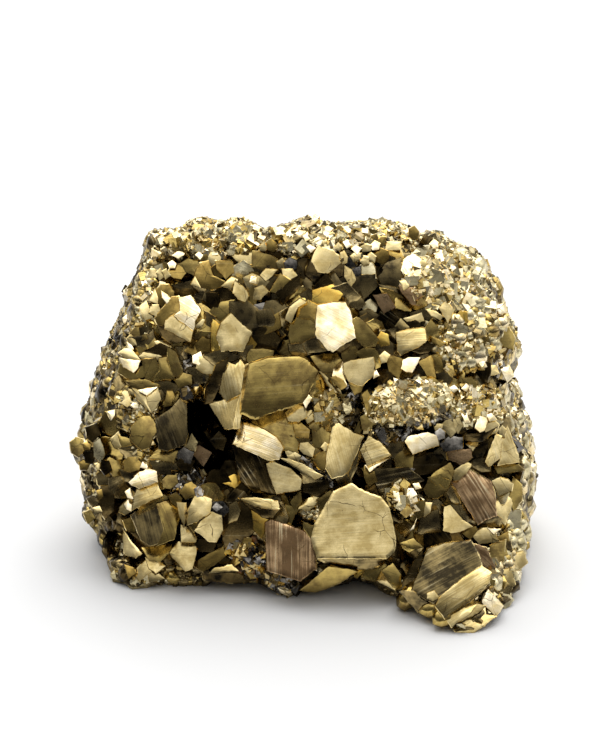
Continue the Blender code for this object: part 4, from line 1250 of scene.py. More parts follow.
    Block("prism cap", Finish.PALE, 0.3, 0, 22, (386, 249, 388, 243, 400, 243, 400, 249)),
    Block("bronze chip", Finish.BROWN, -1.2, 0, 0, (379, 298, 385, 297, 391, 306, 385, 309)),
    Block("tooth bar", Finish.PALE, 0.4, 0, 18, (427, 309, 433, 311, 442, 316, 440, 319, 432, 315)),
    Block("shadow step", Finish.DARK, -0.2, 0, -8, (414, 351, 420, 346, 428, 344, 434, 346, 428, 352, 420,
          353)),
    Block("tan sliver", Finish.GOLD, 0.3, 0, 12, (432, 337, 444, 343, 440, 346, 433, 342)),
    Block("rim bead", Finish.HONEY, 0.2, 0, 12, (457, 323, 455, 317, 460, 312, 466, 313, 467, 320)),
    Block("wing flake", Finish.PALE, 0.5, 0, 21, (151, 300, 155, 290, 157, 298, 157, 303)),
    Block("rim flake", Finish.BRIGHT, 1.0, 0, 30, (162, 292, 170, 299, 167, 302, 163, 297)),
    Block("left grain", Finish.PALE, 0.4, 0, 18, (141, 307, 146, 303, 148, 308, 152, 317, 146, 319, 142,
          313)),
    Block("left bead", Finish.PALE, 0.4, 0, 17, (150, 312, 153, 306, 158, 306, 160, 311, 156, 315)),
    Block("high flake", Finish.PALE, 0.5, 0, 18, (192, 284, 195, 278, 200, 287)),
    Block("cap shade", Finish.DARK, -1.2, 0, -6, (320, 285, 326, 278, 333, 287)),
    Block("fang band", Finish.BRIGHT, 0.9, 0, 32, (139, 390, 157, 387, 147, 394)),
    Block("gold bead", Finish.GOLD, 0.4, 0, 12, (168, 392, 172, 392, 174, 397, 170, 404, 165, 406)),
    Block("cave glow", Finish.HONEY, -3.0, 0, 20, (227, 481, 233, 477, 238, 480, 234, 484)),
    Block("split gold", Finish.GOLD, 1.0, 0, 12, (350, 384, 363, 385, 360, 391, 355, 394)),
    Block("split chip", Finish.GOLD, 1.0, 0, 16, (332, 378, 336, 377, 343, 381, 346, 386, 341, 389)),
    Block("rough band", Finish.PALE, 0.8, 0, 14, (280, 458, 290, 460, 303, 465, 322, 476, 315, 479, 300,
          470)),
    Block("under glow", Finish.HONEY, 0.2, 0, 10, (329, 563, 352, 570, 336, 571)),
    Block("droplet", Finish.HONEY, 0.2, 0, 10, (355, 576, 358, 570, 362, 570, 357, 577)),
    Block("honey drop", Finish.HONEY, -0.8, 0, 10, (379, 341, 382, 334, 386, 336, 387, 343, 382, 344)),
    Block("bottom ledge", Finish.DARK, -0.4, 0, -20, (203, 572, 230, 574, 262, 572, 262, 580, 235, 582, 205,
          579)),
    Block("sill flake", Finish.BRIGHT, 1.2, 0, 30, (488, 528, 500, 529, 494, 533)),
    Block("cube edge", Finish.BRIGHT, 0.6, 0, 30, (410, 530, 415, 525, 417, 517, 413, 528)),
    Block("silver bead", Finish.LEAD, 1.0, 0, 24, (436, 432, 440, 429, 444, 432, 444, 437, 439, 439, 436,
          436)),
    Block("scoop gold", Finish.OLIVE, 0.6, 0, 6, (188, 523, 200, 521, 199, 524, 194, 531)),
    Block("roof spot", Finish.BRIGHT, 1.7, 0, 30, (313, 562, 316, 563, 316, 569, 313, 568)),
    Block("low gold", Finish.GOLD, 0.6, 0, 20, (125, 565, 133, 568, 135, 572, 129, 577)),
    # cavity and rim of the upper left
    Block("high cube", Finish.OLIVE, -1.2, -10, 12, (184, 265, 189, 262, 195, 264, 196, 269, 195, 272, 187,
          269)),
    Block("rim bead low", Finish.GOLD, -1.0, 0, 17, (171, 272, 174, 269, 178, 268, 183, 272, 180, 276, 175,
          275)),
    Block("cavity cube", Finish.DARK, -3.6, 0, 2, (170, 284, 176, 282, 182, 286, 183, 291, 176, 290, 171,
          289)),
    Block("cavity ledge", Finish.GOLD, -3.2, 0, 2, (175, 289, 183, 289, 184, 291, 179, 293, 175, 291)),
    Block("high nut", Finish.GOLD, -0.2, 0, 2, (201, 257, 206, 255, 208, 258, 207, 261, 201, 261)),
    Block("high ball", Finish.GOLD, -0.9, 0, -3, (213, 270, 217, 267, 221, 270, 221, 275, 217, 277, 213,
          275)),
    Block("rim lamp", Finish.BRIGHT, 0.2, 0, 28, (169, 264, 172, 262, 175, 264, 174, 267, 170, 267)),
    Block("rim bar", Finish.BRIGHT, 0.2, 0, 30, (174, 255, 178, 252, 184, 251, 183, 254, 178, 257)),
    Block("rim spark", Finish.BRIGHT, 0.3, 0, 28, (197, 255, 199, 253, 202, 255, 200, 258)),
    Block("rim leaf low", Finish.PALE, -0.2, -8, 16, (151, 270, 154, 270, 156, 277, 152, 280, 149, 277)),
    Block("rim splinter", Finish.PALE, -0.4, 0, 14, (158, 273, 160, 271, 163, 276, 160, 278)),
    Block("rim splinter low", Finish.PALE, -0.4, 6, 14, (164, 272, 166, 271, 169, 275, 166, 277)),
    # under the rim, in the middle
    Block("slope shelf", Finish.SHADE, -1.2, 0, -4, (255, 270, 266, 268, 262, 275, 256, 276)),
    Block("slope tan", Finish.GOLD, -1.0, 0, 6, (251, 268, 258, 266, 262, 268, 257, 273, 252, 273)),
    Block("slope brick", Finish.PALE, -0.7, 0, 18, (263, 275, 267, 271, 274, 271, 270, 275, 266, 278)),
    Block("fork pale", Finish.PALE, -0.8, -6, 10, (246, 279, 252, 276, 257, 278, 255, 284, 249, 287)),
    Block("fork spark", Finish.BRIGHT, -0.3, 0, 28, (252, 277, 255, 277, 255, 282, 251, 281)),
    Block("fork tan", Finish.PALE, -1.2, 8, 2, (257, 283, 262, 279, 265, 282, 261, 287, 258, 287)),
    Block("fork rough", Finish.PALE, -1.2, 0, 12, (255, 296, 257, 291, 262, 289, 264, 291, 259, 296)),
    Block("fork post", Finish.OLIVE, -1.4, 0, 4, (249, 295, 252, 292, 254, 296, 253, 303, 250, 303, 248,
          299)),
    Block("fork bronze", Finish.SHADE, -1.8, 0, 0, (264, 284, 268, 279, 273, 280, 271, 286, 266, 288)),
    Block("fork base", Finish.DARK, -3.0, 0, -2, (262, 300, 267, 290, 272, 293, 276, 297, 270, 303)),
    Block("block bronze", Finish.SHADE, -2.0, -8, -4, (275, 296, 279, 293, 284, 301, 282, 304, 276, 302)),
    Block("cave bead", Finish.SHADE, -2.4, -6, 6, (301, 283, 305, 281, 309, 284, 310, 289, 306, 292, 302,
          289)),
    Block("honey stop", Finish.SHADE, -1.2, -6, 0, (304, 296, 308, 293, 311, 296, 310, 301, 306, 300)),
    Block("cave wall", Finish.DARK, -3.0, 0, -6, (298, 272, 303, 266, 310, 270, 316, 280, 312, 285, 303,
          280)),
    Block("cave nib", Finish.SHADE, -1.6, 0, 0, (294, 270, 298, 268, 300, 272, 298, 276)),
    Block("leaf underside", Finish.DARK, -1.6, 4, -14, (312, 265, 319, 272, 324, 275, 329, 272, 341, 264,
          344, 272, 338, 281, 327, 277, 316, 281, 309, 273)),
    Block("lead ball", Finish.LEAD, -0.6, 0, 10, (286, 263, 290, 260, 295, 262, 295, 267, 291, 269, 287,
          267)),
    Block("nut", Finish.PALE, -0.8, 0, 4, (279, 263, 282, 261, 285, 264, 283, 267, 280, 266)),
    Block("leaf bead", Finish.PALE, -0.2, 0, 16, (341, 253, 344, 252, 347, 257, 346, 262, 343, 263, 341,
          258)),
    Block("lead roof", Finish.LEAD, -1.0, 0, 0, (344, 262, 350, 260, 353, 268, 347, 271)),
    Block("gold glow", Finish.GOLD, -1.6, 0, 6, (266, 325, 275, 318, 283, 314, 286, 315, 285, 321, 275, 327,
          267, 330)),
    Block("grey nib", Finish.LEAD, -1.6, 0, 12, (260, 307, 264, 306, 266, 309, 263, 312)),
    Block("rim gold", Finish.GOLD, 0.4, 0, 6, (267, 243, 271, 240, 275, 244, 276, 248, 273, 251, 268, 249)),
    Block("rim pale", Finish.PALE, 0.4, 0, 10, (260, 247, 264, 243, 266, 247, 265, 250, 261, 250)),
    Block("crest lamp", Finish.BRIGHT, 0.6, 0, 30, (287, 234, 290, 231, 294, 233, 294, 237, 289, 238)),
    Block("crest lamp next", Finish.BRIGHT, 0.6, 0, 30, (296, 234, 300, 231, 304, 232, 302, 235, 298, 236)),
    Block("crest star", Finish.BRIGHT, 0.5, 0, 28, (304, 236, 307, 234, 309, 238, 306, 240)),
    Block("crest moon", Finish.BRIGHT, 0.6, 0, 30, (315, 241, 318, 237, 322, 240, 320, 244, 317, 245)),
    Block("crest moon next", Finish.PALE, 0.4, 0, 18, (322, 241, 325, 239, 327, 243, 324, 245)),
    Block("crest seed", Finish.BRIGHT, 0.4, 0, 28, (321, 235, 324, 232, 328, 234, 326, 237, 322, 236)),
    Block("crest far", Finish.BRIGHT, 0.2, 0, 30, (324, 229, 328, 227, 331, 229, 329, 232, 325, 231)),
    Block("crest gold", Finish.PALE, 0.4, 0, 10, (329, 236, 333, 233, 337, 235, 336, 240, 331, 241)),
    Block("crest pale", Finish.PALE, 0.4, 0, 12, (312, 234, 316, 232, 319, 234, 318, 237, 313, 238)),
    Block("crest low", Finish.BRIGHT, 0.5, 0, 28, (308, 247, 311, 246, 314, 248, 311, 251)),
    Block("crest lens", Finish.PALE, 0.3, 0, 14, (336, 247, 338, 244, 341, 247, 339, 250, 336, 249)),
    Block("crest spark", Finish.BRIGHT, 0.4, 0, 28, (344, 242, 347, 241, 350, 245, 347, 247)),
    # upper right
    Block("gable dark", Finish.SHADE, -1.2, -4, -4, (383, 262, 389, 258, 397, 263, 388, 266, 384, 268)),
    Block("gable gold", Finish.GOLD, -0.6, -8, 8, (376, 253, 380, 250, 386, 252, 387, 258, 382, 262, 377,
          260)),
    Block("gable chip", Finish.GOLD, 0.2, 0, 8, (378, 241, 381, 238, 385, 238, 384, 244, 380, 247)),
    Block("gable bead", Finish.GOLD, 0.1, 0, 4, (372, 237, 376, 235, 378, 240, 374, 242, 372, 240)),
    Block("lead gable", Finish.LEAD, -1.0, -8, 8, (351, 272, 358, 270, 358, 278, 353, 280)),
    Block("lead rim", Finish.PALE, -0.9, -6, 14, (347, 270, 350, 272, 353, 279, 351, 282, 347, 276)),
    Block("arch brown", Finish.SHADE, -2.0, -6, -4, (340, 282, 346, 280, 352, 284, 350, 291, 342, 292)),
    Block("arch gold", Finish.DARK, -1.8, -4, 3, (350, 283, 356, 290, 359, 296, 352, 300, 345, 297)),
    Block("arch post", Finish.SHADE, -1.8, 0, 2, (353, 300, 357, 298, 361, 303, 358, 306, 353, 304)),
    Block("arch ball", Finish.DRUSE, -2.2, 0, 12, (365, 306, 370, 303, 374, 306, 373, 310, 368, 311)),
    Block("arch bronze", Finish.SHADE, -2.2, 0, 0, (363, 314, 368, 312, 374, 316, 370, 320, 364, 320)),
    Block("lozenge gold", Finish.GOLD, -1.6, 4, -8, (383, 291, 388, 293, 400, 299, 401, 303, 394, 305, 388,
          300)),
    Block("lens wall", Finish.DARK, -2.6, 0, 2, (388, 306, 400, 301, 403, 304, 413, 306, 428, 307, 421, 315,
          405, 318, 392, 314)),
    Block("white fin", Finish.BRIGHT, 0.6, 6, 28, (415, 272, 420, 269, 421, 276, 417, 280, 414, 278)),
    Block("lens edge", Finish.PALE, 0.2, -6, 20, (401, 282, 405, 281, 408, 286, 404, 289)),
    Block("lens gable", Finish.OLIVE, -0.2, 6, 12, (409, 281, 415, 280, 421, 284, 428, 292, 418, 288)),
    Block("lens chips", Finish.PALE, 0.1, 8, 14, (425, 278, 432, 277, 436, 285, 430, 287)),
    Block("shoulder lamp", Finish.BRIGHT, 0.4, 0, 30, (435, 254, 441, 252, 443, 260, 440, 262, 437, 260)),
    Block("shoulder bead", Finish.PALE, 0.3, 0, 12, (420, 263, 423, 260, 426, 263, 426, 270, 422, 271)),
    Block("shoulder bead next", Finish.PALE, 0.3, 4, 12, (432, 262, 436, 260, 439, 264, 437, 270, 433, 268)),
    Block("shoulder star", Finish.BRIGHT, 0.2, 0, 28, (448, 266, 452, 264, 456, 267, 452, 270)),
    Block("crest brown", Finish.GOLD, 0.0, 0, 6, (410, 229, 414, 227, 418, 232, 417, 238, 413, 239, 410,
          235)),
    Block("crest white", Finish.BRIGHT, 0.0, 0, 30, (431, 244, 434, 241, 437, 243, 437, 246, 434, 247)),
    Block("crest drop", Finish.BRIGHT, 0.4, 0, 28, (353, 249, 356, 247, 360, 249, 357, 253)),
    Block("crest egg", Finish.BRIGHT, 0.4, 0, 26, (371, 246, 375, 242, 379, 244, 378, 248, 373, 249)),
    Block("crest egg next", Finish.PALE, 0.3, 0, 12, (361, 247, 365, 245, 371, 246, 370, 250, 363, 251)),
    Block("crest tail", Finish.PALE, 0.0, 0, 14, (368, 256, 371, 254, 375, 257, 374, 261, 370, 259)),
    Block("crest tooth", Finish.PALE, -0.1, 0, 14, (361, 261, 364, 257, 368, 258, 368, 263, 364, 264)),
    Block("crest fan", Finish.PALE, 0.0, -6, 16, (351, 256, 355, 253, 360, 254, 359, 259, 354, 261)),
    # left column
    Block("left gable", Finish.OLIVE, -0.6, -10, 14, (132, 334, 137, 328, 142, 330, 145, 337, 138, 339, 134,
          338)),
    Block("left gable side", Finish.SHADE, -0.8, 6, 0, (142, 329, 148, 326, 151, 333, 146, 338, 143, 336)),
    Block("left gable foot", Finish.SHADE, -1.0, 0, 4, (134, 339, 145, 338, 151, 334, 153, 342, 147, 345,
          138, 344)),
    Block("left nib", Finish.PALE, -0.3, -6, 14, (128, 339, 131, 336, 134, 340, 135, 344, 131, 345)),
    Block("left nib white", Finish.BRIGHT, -0.2, 0, 28, (128, 343, 130, 344, 132, 348, 129, 348)),
    Block("left ball", Finish.SHADE, -0.8, -6, 8, (138, 320, 141, 318, 145, 320, 145, 325, 140, 326, 138,
          323)),
    Block("bronze top", Finish.PALE, -0.5, 0, 15, (141, 356, 145, 353, 152, 353, 159, 357, 155, 360, 147,
          360)),
    Block("left glint", Finish.PALE, -1.2, 0, 22, (160, 344, 168, 343, 168, 345, 162, 347)),
    Block("fang bead", Finish.PALE, -0.2, -4, 10, (130, 390, 134, 391, 137, 394, 135, 397, 131, 395)),
    Block("left ice", Finish.PALE, -0.1, -4, 22, (123, 393, 127, 392, 128, 396, 131, 402, 127, 406, 122, 403,
          125, 400)),
    Block("left ice low", Finish.BRIGHT, 0.0, 0, 28, (132, 405, 135, 402, 139, 404, 137, 407, 134, 407)),
    Block("left ice far", Finish.BRIGHT, -0.4, -8, 26, (109, 413, 113, 412, 113, 415, 111, 418)),
    Block("fang shade", Finish.SHADE, -0.6, 8, 2, (157, 393, 161, 392, 164, 396, 160, 399)),
    Block("fang roof", Finish.SHADE, -1.0, 0, -2, (158, 384, 168, 384, 176, 388, 172, 391, 163, 390)),
    Block("leaf left", Finish.PALE, -0.6, -10, 16, (113, 440, 118, 435, 120, 440, 120, 448, 124, 452, 116,
          446)),
    Block("leaf left low", Finish.OLIVE, -0.5, -6, 12, (120, 437, 128, 440, 132, 446, 124, 448)),
    Block("pentagon tie", Finish.SHADE, -0.5, -4, -6, (121, 448, 132, 447, 142, 450, 130, 451)),
    Block("left stone", Finish.SHADE, -1.0, -10, 4, (100, 476, 104, 473, 108, 477, 108, 484, 104, 487, 100,
          483)),
    Block("left tooth white", Finish.BRIGHT, -0.2, -4, 26, (126, 492, 130, 489, 134, 494, 133, 498, 128,
          497)),
    Block("left tooth low", Finish.BRIGHT, -0.2, -2, 26, (125, 504, 131, 498, 133, 504, 131, 510, 127, 508)),
    Block("left tooth foot", Finish.PALE, -0.5, -8, 10, (121, 508, 125, 504, 129, 511, 125, 513, 121, 511)),
    Block("cleft lump", Finish.OLIVE, -0.6, 0, 14, (164, 480, 168, 477, 175, 477, 176, 482, 170, 487, 165,
          486)),
    Block("terrace chip", Finish.BRIGHT, -0.4, 0, 28, (142, 466, 144, 462, 147, 462, 146, 467)),
    Block("pentagon star", Finish.BRIGHT, 0.5, 0, 28, (149, 437, 152, 434, 155, 436, 153, 438)),
    Block("pentagon star low", Finish.BRIGHT, 0.5, 0, 28, (148, 441, 151, 439, 154, 443, 151, 444)),
    Block("terrace underside", Finish.OLIVE, -0.6, 0, 8, (141, 508, 150, 503, 163, 496, 168, 499, 158, 504,
          142, 509)),
    Block("terrace gold", Finish.SHADE, -0.8, -6, 0, (123, 472, 131, 472, 138, 473, 131, 480, 126, 479)),
    Block("terrace tie", Finish.GOLD, -0.7, 0, 0, (142, 460, 149, 457, 153, 463, 148, 468, 144, 462)),
    Block("cleft tan", Finish.GOLD, -0.6, 4, 2, (171, 497, 176, 495, 180, 499, 178, 505, 173, 501)),
    # between the white wing and the great face
    Block("wing chip", Finish.PALE, -0.6, 0, 16, (194, 323, 198, 320, 202, 321, 200, 326, 195, 326)),
    Block("wing wall", Finish.DARK, -1.6, 6, -4, (190, 340, 193, 329, 199, 326, 199, 338, 193, 342)),
    Block("wing lead", Finish.LEAD, -2.0, 0, 4, (201, 326, 206, 325, 206, 337, 200, 338)),
    Block("plate wall", Finish.SHADE, -1.4, -8, -6, (207, 316, 212, 319, 212, 341, 208, 338)),
    Block("hall gold", Finish.GOLD, -1.6, -4, 16, (188, 345, 193, 342, 199, 342, 200, 350, 195, 352, 188,
          349)),
    Block("hall ball", Finish.GOLD, -1.4, 6, -2, (199, 345, 203, 341, 209, 343, 212, 350, 207, 354, 201,
          351)),
    Block("hall floor", Finish.SHADE, -2.2, 0, -8, (178, 350, 187, 350, 195, 357, 190, 364, 182, 366, 177,
          359)),
    Block("hall lamp", Finish.BRIGHT, -0.8, 0, 28, (195, 357, 199, 355, 200, 359, 198, 362, 195, 361)),
    Block("small brick", Finish.PALE, -0.7, 4, 13, (198, 367, 201, 361, 209, 362, 216, 367, 213, 372, 205,
          371)),
    Block("brick cap", Finish.PALE, -0.8, 0, 18, (201, 358, 205, 357, 208, 361, 202, 361)),
    Block("brick foot", Finish.SHADE, -1.2, 0, -4, (192, 371, 198, 370, 206, 372, 212, 374, 205, 380, 197,
          380)),
    Block("cleft pink", Finish.OLIVE, -0.9, -4, 12, (177, 380, 183, 375, 189, 377, 189, 382, 180, 384)),
    Block("plate bronze", Finish.SHADE, -0.9, 4, -4, (241, 352, 244, 349, 250, 348, 249, 356, 246, 362, 242,
          359)),
    Block("plate honey", Finish.HONEY, -0.8, 0, 0, (246, 341, 250, 339, 254, 344, 252, 347, 247, 346)),
    Block("great ledge", Finish.OLIVE, -0.5, 0, 8, (251, 351, 262, 350, 272, 352, 271, 357, 258, 359, 250,
          363, 248, 358)),
    Block("olive ledge", Finish.OLIVE, -0.3, 6, 18, (312, 357, 322, 355, 336, 354, 341, 361, 334, 370, 324,
          372, 317, 364)),
    Block("ledge cube", Finish.OLIVE, -0.9, 0, 4, (344, 355, 350, 349, 354, 349, 357, 353, 352, 358, 345,
          360)),
    Block("tablet roof", Finish.OLIVE, -0.5, 4, -2, (358, 353, 365, 349, 374, 350, 380, 358, 379, 366, 375,
          368, 373, 358, 362, 358)),
    Block("tablet far roof", Finish.SHADE, -1.0, 0, 2, (371, 349, 380, 345, 389, 344, 396, 349, 397, 354,
          388, 352, 380, 352)),
    Block("rough lamp", Finish.PALE, -0.2, 0, 20, (380, 356, 385, 352, 389, 355, 386, 361, 382, 362)),
    Block("tablet spark", Finish.BRIGHT, 0.2, 0, 28, (373, 373, 376, 371, 378, 375, 374, 377)),
    Block("long wall", Finish.OLIVE, -0.7, 10, -6, (324, 373, 333, 375, 341, 388, 338, 393, 330, 384)),
    Block("long wall edge", Finish.PALE, -0.1, 6, 14, (319, 371, 323, 374, 331, 384, 338, 392, 336, 392, 328,
          384)),
    Block("drop spark", Finish.BRIGHT, 0.3, 0, 28, (334, 398, 336, 395, 338, 399, 336, 403)),
    Block("olive pit", Finish.DARK, 0.7, 0, -20, (283, 400, 287, 398, 292, 400, 291, 404, 285, 403)),
    Block("foot gold", Finish.SHADE, -1.2, -6, -8, (292, 346, 303, 342, 307, 352, 299, 354, 293, 351)),
    Block("tablet underside", Finish.DARK, -1.0, 4, -14, (334, 351, 346, 343, 355, 338, 365, 348, 357, 352,
          348, 349, 342, 353)),
    Block("split rubble", Finish.PALE, -0.2, 0, 17, (304, 412, 311, 411, 314, 418, 308, 422)),
    Block("split olive", Finish.OLIVE, -0.5, 0, 15, (310, 422, 318, 419, 322, 424, 316, 429, 311, 427)),
    Block("split flake", Finish.PALE, -0.2, 0, 12, (330, 421, 334, 418, 338, 422, 334, 425)),
    Block("patch gold", Finish.PALE, -0.1, 6, 6, (378, 411, 384, 409, 386, 418, 382, 425, 378, 420)),
    Block("patch dark", Finish.OLIVE, -0.6, -6, 12, (362, 418, 368, 414, 375, 420, 372, 430, 364, 428)),
    # the right
    Block("block roof", Finish.DARK, -1.0, 0, 2, (398, 331, 404, 326, 415, 323, 424, 327, 410, 330)),
    Block("roof chip", Finish.PALE, -0.9, 0, 16, (406, 319, 414, 318, 420, 316, 421, 319, 412, 322)),
    Block("roof chip low", Finish.PALE, -0.8, -4, 8, (398, 326, 401, 322, 405, 326, 401, 327)),
    Block("tooth shade", Finish.DARK, -0.5, 14, 4, (449, 322, 455, 310, 457, 312, 456, 318, 451, 324)),
    Block("tooth step", Finish.PALE, -0.3, 0, 8, (430, 306, 441, 304, 440, 309, 434, 310)),
    Block("tooth tan", Finish.GOLD, -0.6, 6, 4, (452, 322, 456, 321, 457, 326, 453, 327)),
    Block("tooth cave", Finish.DARK, -1.4, 4, 0, (458, 322, 468, 319, 470, 325, 462, 329)),
    Block("shoulder lump", Finish.OLIVE, -0.8, 10, 6, (481, 336, 486, 332, 491, 337, 490, 344, 484, 347, 480,
          342)),
    Block("side egg", Finish.BRIGHT, -0.4, 8, 26, (485, 307, 489, 305, 490, 311, 487, 316)),
    Block("side egg far", Finish.BRIGHT, -0.8, 12, 26, (499, 308, 503, 306, 504, 310, 501, 311)),
    Block("side egg low", Finish.BRIGHT, -0.8, 12, 24, (499, 319, 504, 317, 506, 322, 505, 328, 500, 326)),
    Block("column bronze", Finish.GOLD, -0.6, 6, 0, (433, 357, 437, 356, 441, 364, 441, 370, 437, 371)),
    Block("column dark", Finish.DARK, -0.8, 8, 6, (443, 363, 450, 361, 456, 366, 457, 371, 450, 374, 444,
          370)),
    Block("column low", Finish.SHADE, -1.0, 6, 0, (440, 375, 446, 373, 449, 379, 447, 384, 442, 382)),
    Block("patch roof", Finish.OLIVE, 0.0, 4, 12, (421, 377, 432, 377, 440, 384, 447, 391, 438, 392, 428,
          388)),
    Block("patch star", Finish.BRIGHT, 0.2, 6, 28, (450, 388, 454, 386, 457, 389, 454, 391)),
    Block("patch star next", Finish.BRIGHT, 0.2, 6, 28, (463, 388, 466, 385, 468, 387, 466, 390)),
    Block("side gold", Finish.OLIVE, -0.6, 10, 8, (465, 380, 471, 379, 475, 384, 473, 390, 468, 386)),
    Block("side spark", Finish.BRIGHT, -0.6, 10, 26, (481, 362, 484, 361, 486, 365, 483, 366)),
    Block("side flake", Finish.PALE, -0.7, 12, 22, (489, 368, 494, 368, 496, 372, 492, 373)),
    Block("side ember", Finish.BRIGHT, -1.0, 14, 24, (505, 371, 508, 370, 510, 375, 508, 377)),
    Block("side plain", Finish.OLIVE, -1.0, 16, 13, (501, 334, 508, 331, 512, 338, 511, 346, 504, 343)),
    # the cave and its rim
    Block("cave grey", Finish.DARK, -3.0, 0, 4, (214, 441, 219, 436, 223, 440, 221, 446, 216, 444)),
    Block("cave post", Finish.PALE, -1.6, 0, 6, (189, 445, 192, 440, 194, 443, 193, 447)),
    Block("cave lead", Finish.LEAD, -1.4, 0, 6, (179, 455, 184, 451, 190, 454, 188, 460, 182, 459)),
    Block("cave lead low", Finish.DARK, -1.4, 0, 2, (180, 463, 185, 460, 190, 463, 188, 468, 182, 467)),
    Block("cave tan", Finish.GOLD, -0.6, -6, 14, (182, 492, 186, 486, 191, 484, 196, 488, 194, 495, 186,
          497)),
    Block("cave pearl", Finish.LEAD, -0.2, 0, 30, (195, 489, 199, 487, 203, 491, 202, 495, 197, 496)),
    Block("plate pearl", Finish.LEAD, -0.2, 0, 32, (213, 507, 217, 503, 221, 507, 217, 510)),
    Block("plate lead", Finish.LEAD, -0.6, 0, 6, (212, 504, 222, 503, 228, 510, 222, 515, 213, 511)),
    Block("cave bronze", Finish.SHADE, -0.4, 0, -2, (231, 506, 236, 503, 239, 510, 236, 519, 230, 521)),
    Block("plate foot", Finish.DARK, -0.4, 0, 2, (194, 541, 204, 541, 215, 543, 212, 551, 200, 550)),
    Block("wedge lead", Finish.LEAD, -0.4, 4, 16, (271, 540, 275, 539, 278, 548, 273, 550)),
    # the middle
    Block("roof end", Finish.PALE, -0.2, 6, 17, (284, 444, 290, 444, 298, 452, 296, 458, 287, 453)),
    Block("roof gold", Finish.SHADE, -0.6, 0, -2, (282, 434, 289, 433, 294, 441, 291, 447, 285, 443)),
    Block("shelf olive", Finish.OLIVE, -0.2, 0, 2, (296, 437, 308, 438, 309, 443, 301, 443)),
    Block("shelf pale", Finish.PALE, 0.0, 0, 14, (301, 444, 308, 443, 314, 449, 312, 456, 304, 453, 300,
          449)),
    Block("shelf chip", Finish.PALE, 0.2, 0, 20, (322, 447, 325, 443, 329, 446, 325, 450)),
    Block("shelf rough", Finish.PALE, 0.0, 0, 12, (288, 455, 295, 453, 300, 456, 298, 461, 290, 460)),
    Block("band underside", Finish.SHADE, -1.0, 0, -10, (304, 477, 316, 480, 322, 484, 316, 490, 307, 487)),
    Block("lance underside", Finish.SHADE, -1.2, 0, -12, (324, 482, 335, 478, 347, 476, 349, 484, 338, 490,
          326, 490)),
    Block("lance side", Finish.SHADE, -0.7, 12, -2, (350, 470, 357, 450, 361, 447, 360, 455, 354, 470, 351,
          478)),
    Block("tile nib", Finish.GOLD, -1.0, 0, -4, (366, 470, 371, 469, 372, 473, 368, 475)),
    Block("hollow gold", Finish.PALE, -1.4, 0, 18, (316, 495, 319, 492, 323, 494, 322, 498, 317, 498)),
    Block("hollow brown", Finish.SHADE, -1.4, -6, -2, (314, 501, 322, 498, 331, 494, 329, 502, 320, 511)),
    Block("hollow edge", Finish.PALE, -1.2, -4, 18, (303, 507, 308, 502, 314, 499, 315, 501, 307, 507)),
    Block("hollow ribbon", Finish.OLIVE, -2.0, 4, 4, (294, 503, 297, 498, 300, 493, 299, 501, 296, 511)),
    Block("great bead", Finish.GOLD, 0.9, -4, 2, (320, 512, 325, 511, 329, 514, 327, 519, 321, 518)),
    Block("great scar", Finish.BRIGHT, 0.9, 0, 26, (336, 505, 341, 503, 347, 508, 352, 510, 345, 511, 338,
          508)),
    Block("great crack", Finish.DARK, 0.86, 0, 3, (372, 535, 380, 534, 391, 534, 390, 538, 380, 538, 373,
          538)),
    Block("great pit", Finish.DARK, 0.9, 0, -20, (341, 503, 343, 503, 344, 506, 342, 506)),
    Block("great pit low", Finish.SHADE, 0.9, 0, -16, (317, 529, 319, 528, 319, 533, 318, 533)),
    # under the rough patch and to the right
    Block("right chip", Finish.PALE, -0.2, -4, 14, (435, 427, 438, 424, 442, 425, 441, 429, 436, 430)),
    Block("right tongue", Finish.PALE, -0.1, 0, 10, (442, 425, 448, 419, 452, 423, 455, 432, 451, 436, 446,
          431)),
    Block("right scale", Finish.PALE, -0.1, 6, 12, (454, 420, 459, 419, 462, 426, 458, 432, 455, 428)),
    Block("right sliver", Finish.BRIGHT, 0.1, 6, 28, (463, 414, 466, 414, 469, 422, 466, 422)),
    Block("right lamp", Finish.BRIGHT, 0.2, 6, 28, (479, 415, 484, 415, 487, 421, 484, 429, 480, 431, 476,
          427, 478, 421)),
    Block("right lamp next", Finish.BRIGHT, 0.1, 8, 28, (488, 415, 491, 414, 495, 419, 490, 420)),
    Block("right round", Finish.PALE, 0.0, 8, 15, (483, 426, 487, 421, 493, 420, 498, 425, 496, 432, 488,
          434)),
    Block("right drop", Finish.PALE, -0.2, 10, 12, (499, 430, 502, 427, 505, 430, 504, 436, 500, 434)),
    Block("pillar flank", Finish.GOLD, -1.0, -12, -2, (480, 459, 486, 445, 491, 441, 492, 443, 486, 459, 483,
          462)),
    Block("eye left", Finish.PALE, -2.2, 0, 16, (471, 444, 473, 442, 475, 444, 474, 447)),
    Block("eye right", Finish.PALE, -2.2, 0, 16, (477, 444, 480, 443, 480, 447, 478, 447)),
    Block("pillar foot", Finish.SHADE, -0.8, 0, -6, (475, 462, 482, 460, 488, 463, 488, 469, 480, 470, 475,
          466)),
    Block("brick underside", Finish.DARK, -1.2, 0, 4, (410, 457, 425, 455, 440, 457, 444, 463, 432, 470, 418,
          472, 408, 466)),
    Block("brick bronze", Finish.SHADE, -1.0, 4, -6, (434, 455, 440, 451, 446, 456, 445, 463, 438, 465)),
    Block("brick ridge", Finish.LEAD, -0.8, 0, 12, (401, 466, 404, 463, 406, 469, 411, 470, 409, 472, 402,
          470)),
    Block("crust lamp", Finish.BRIGHT, 0.6, 0, 28, (407, 489, 413, 489, 416, 494, 411, 497, 407, 494)),
    Block("crust lamp left", Finish.BRIGHT, 0.6, -4, 26, (394, 492, 398, 493, 399, 501, 395, 499)),
    Block("crust lamp top", Finish.BRIGHT, 0.5, 0, 28, (414, 484, 418, 483, 420, 487, 416, 488)),
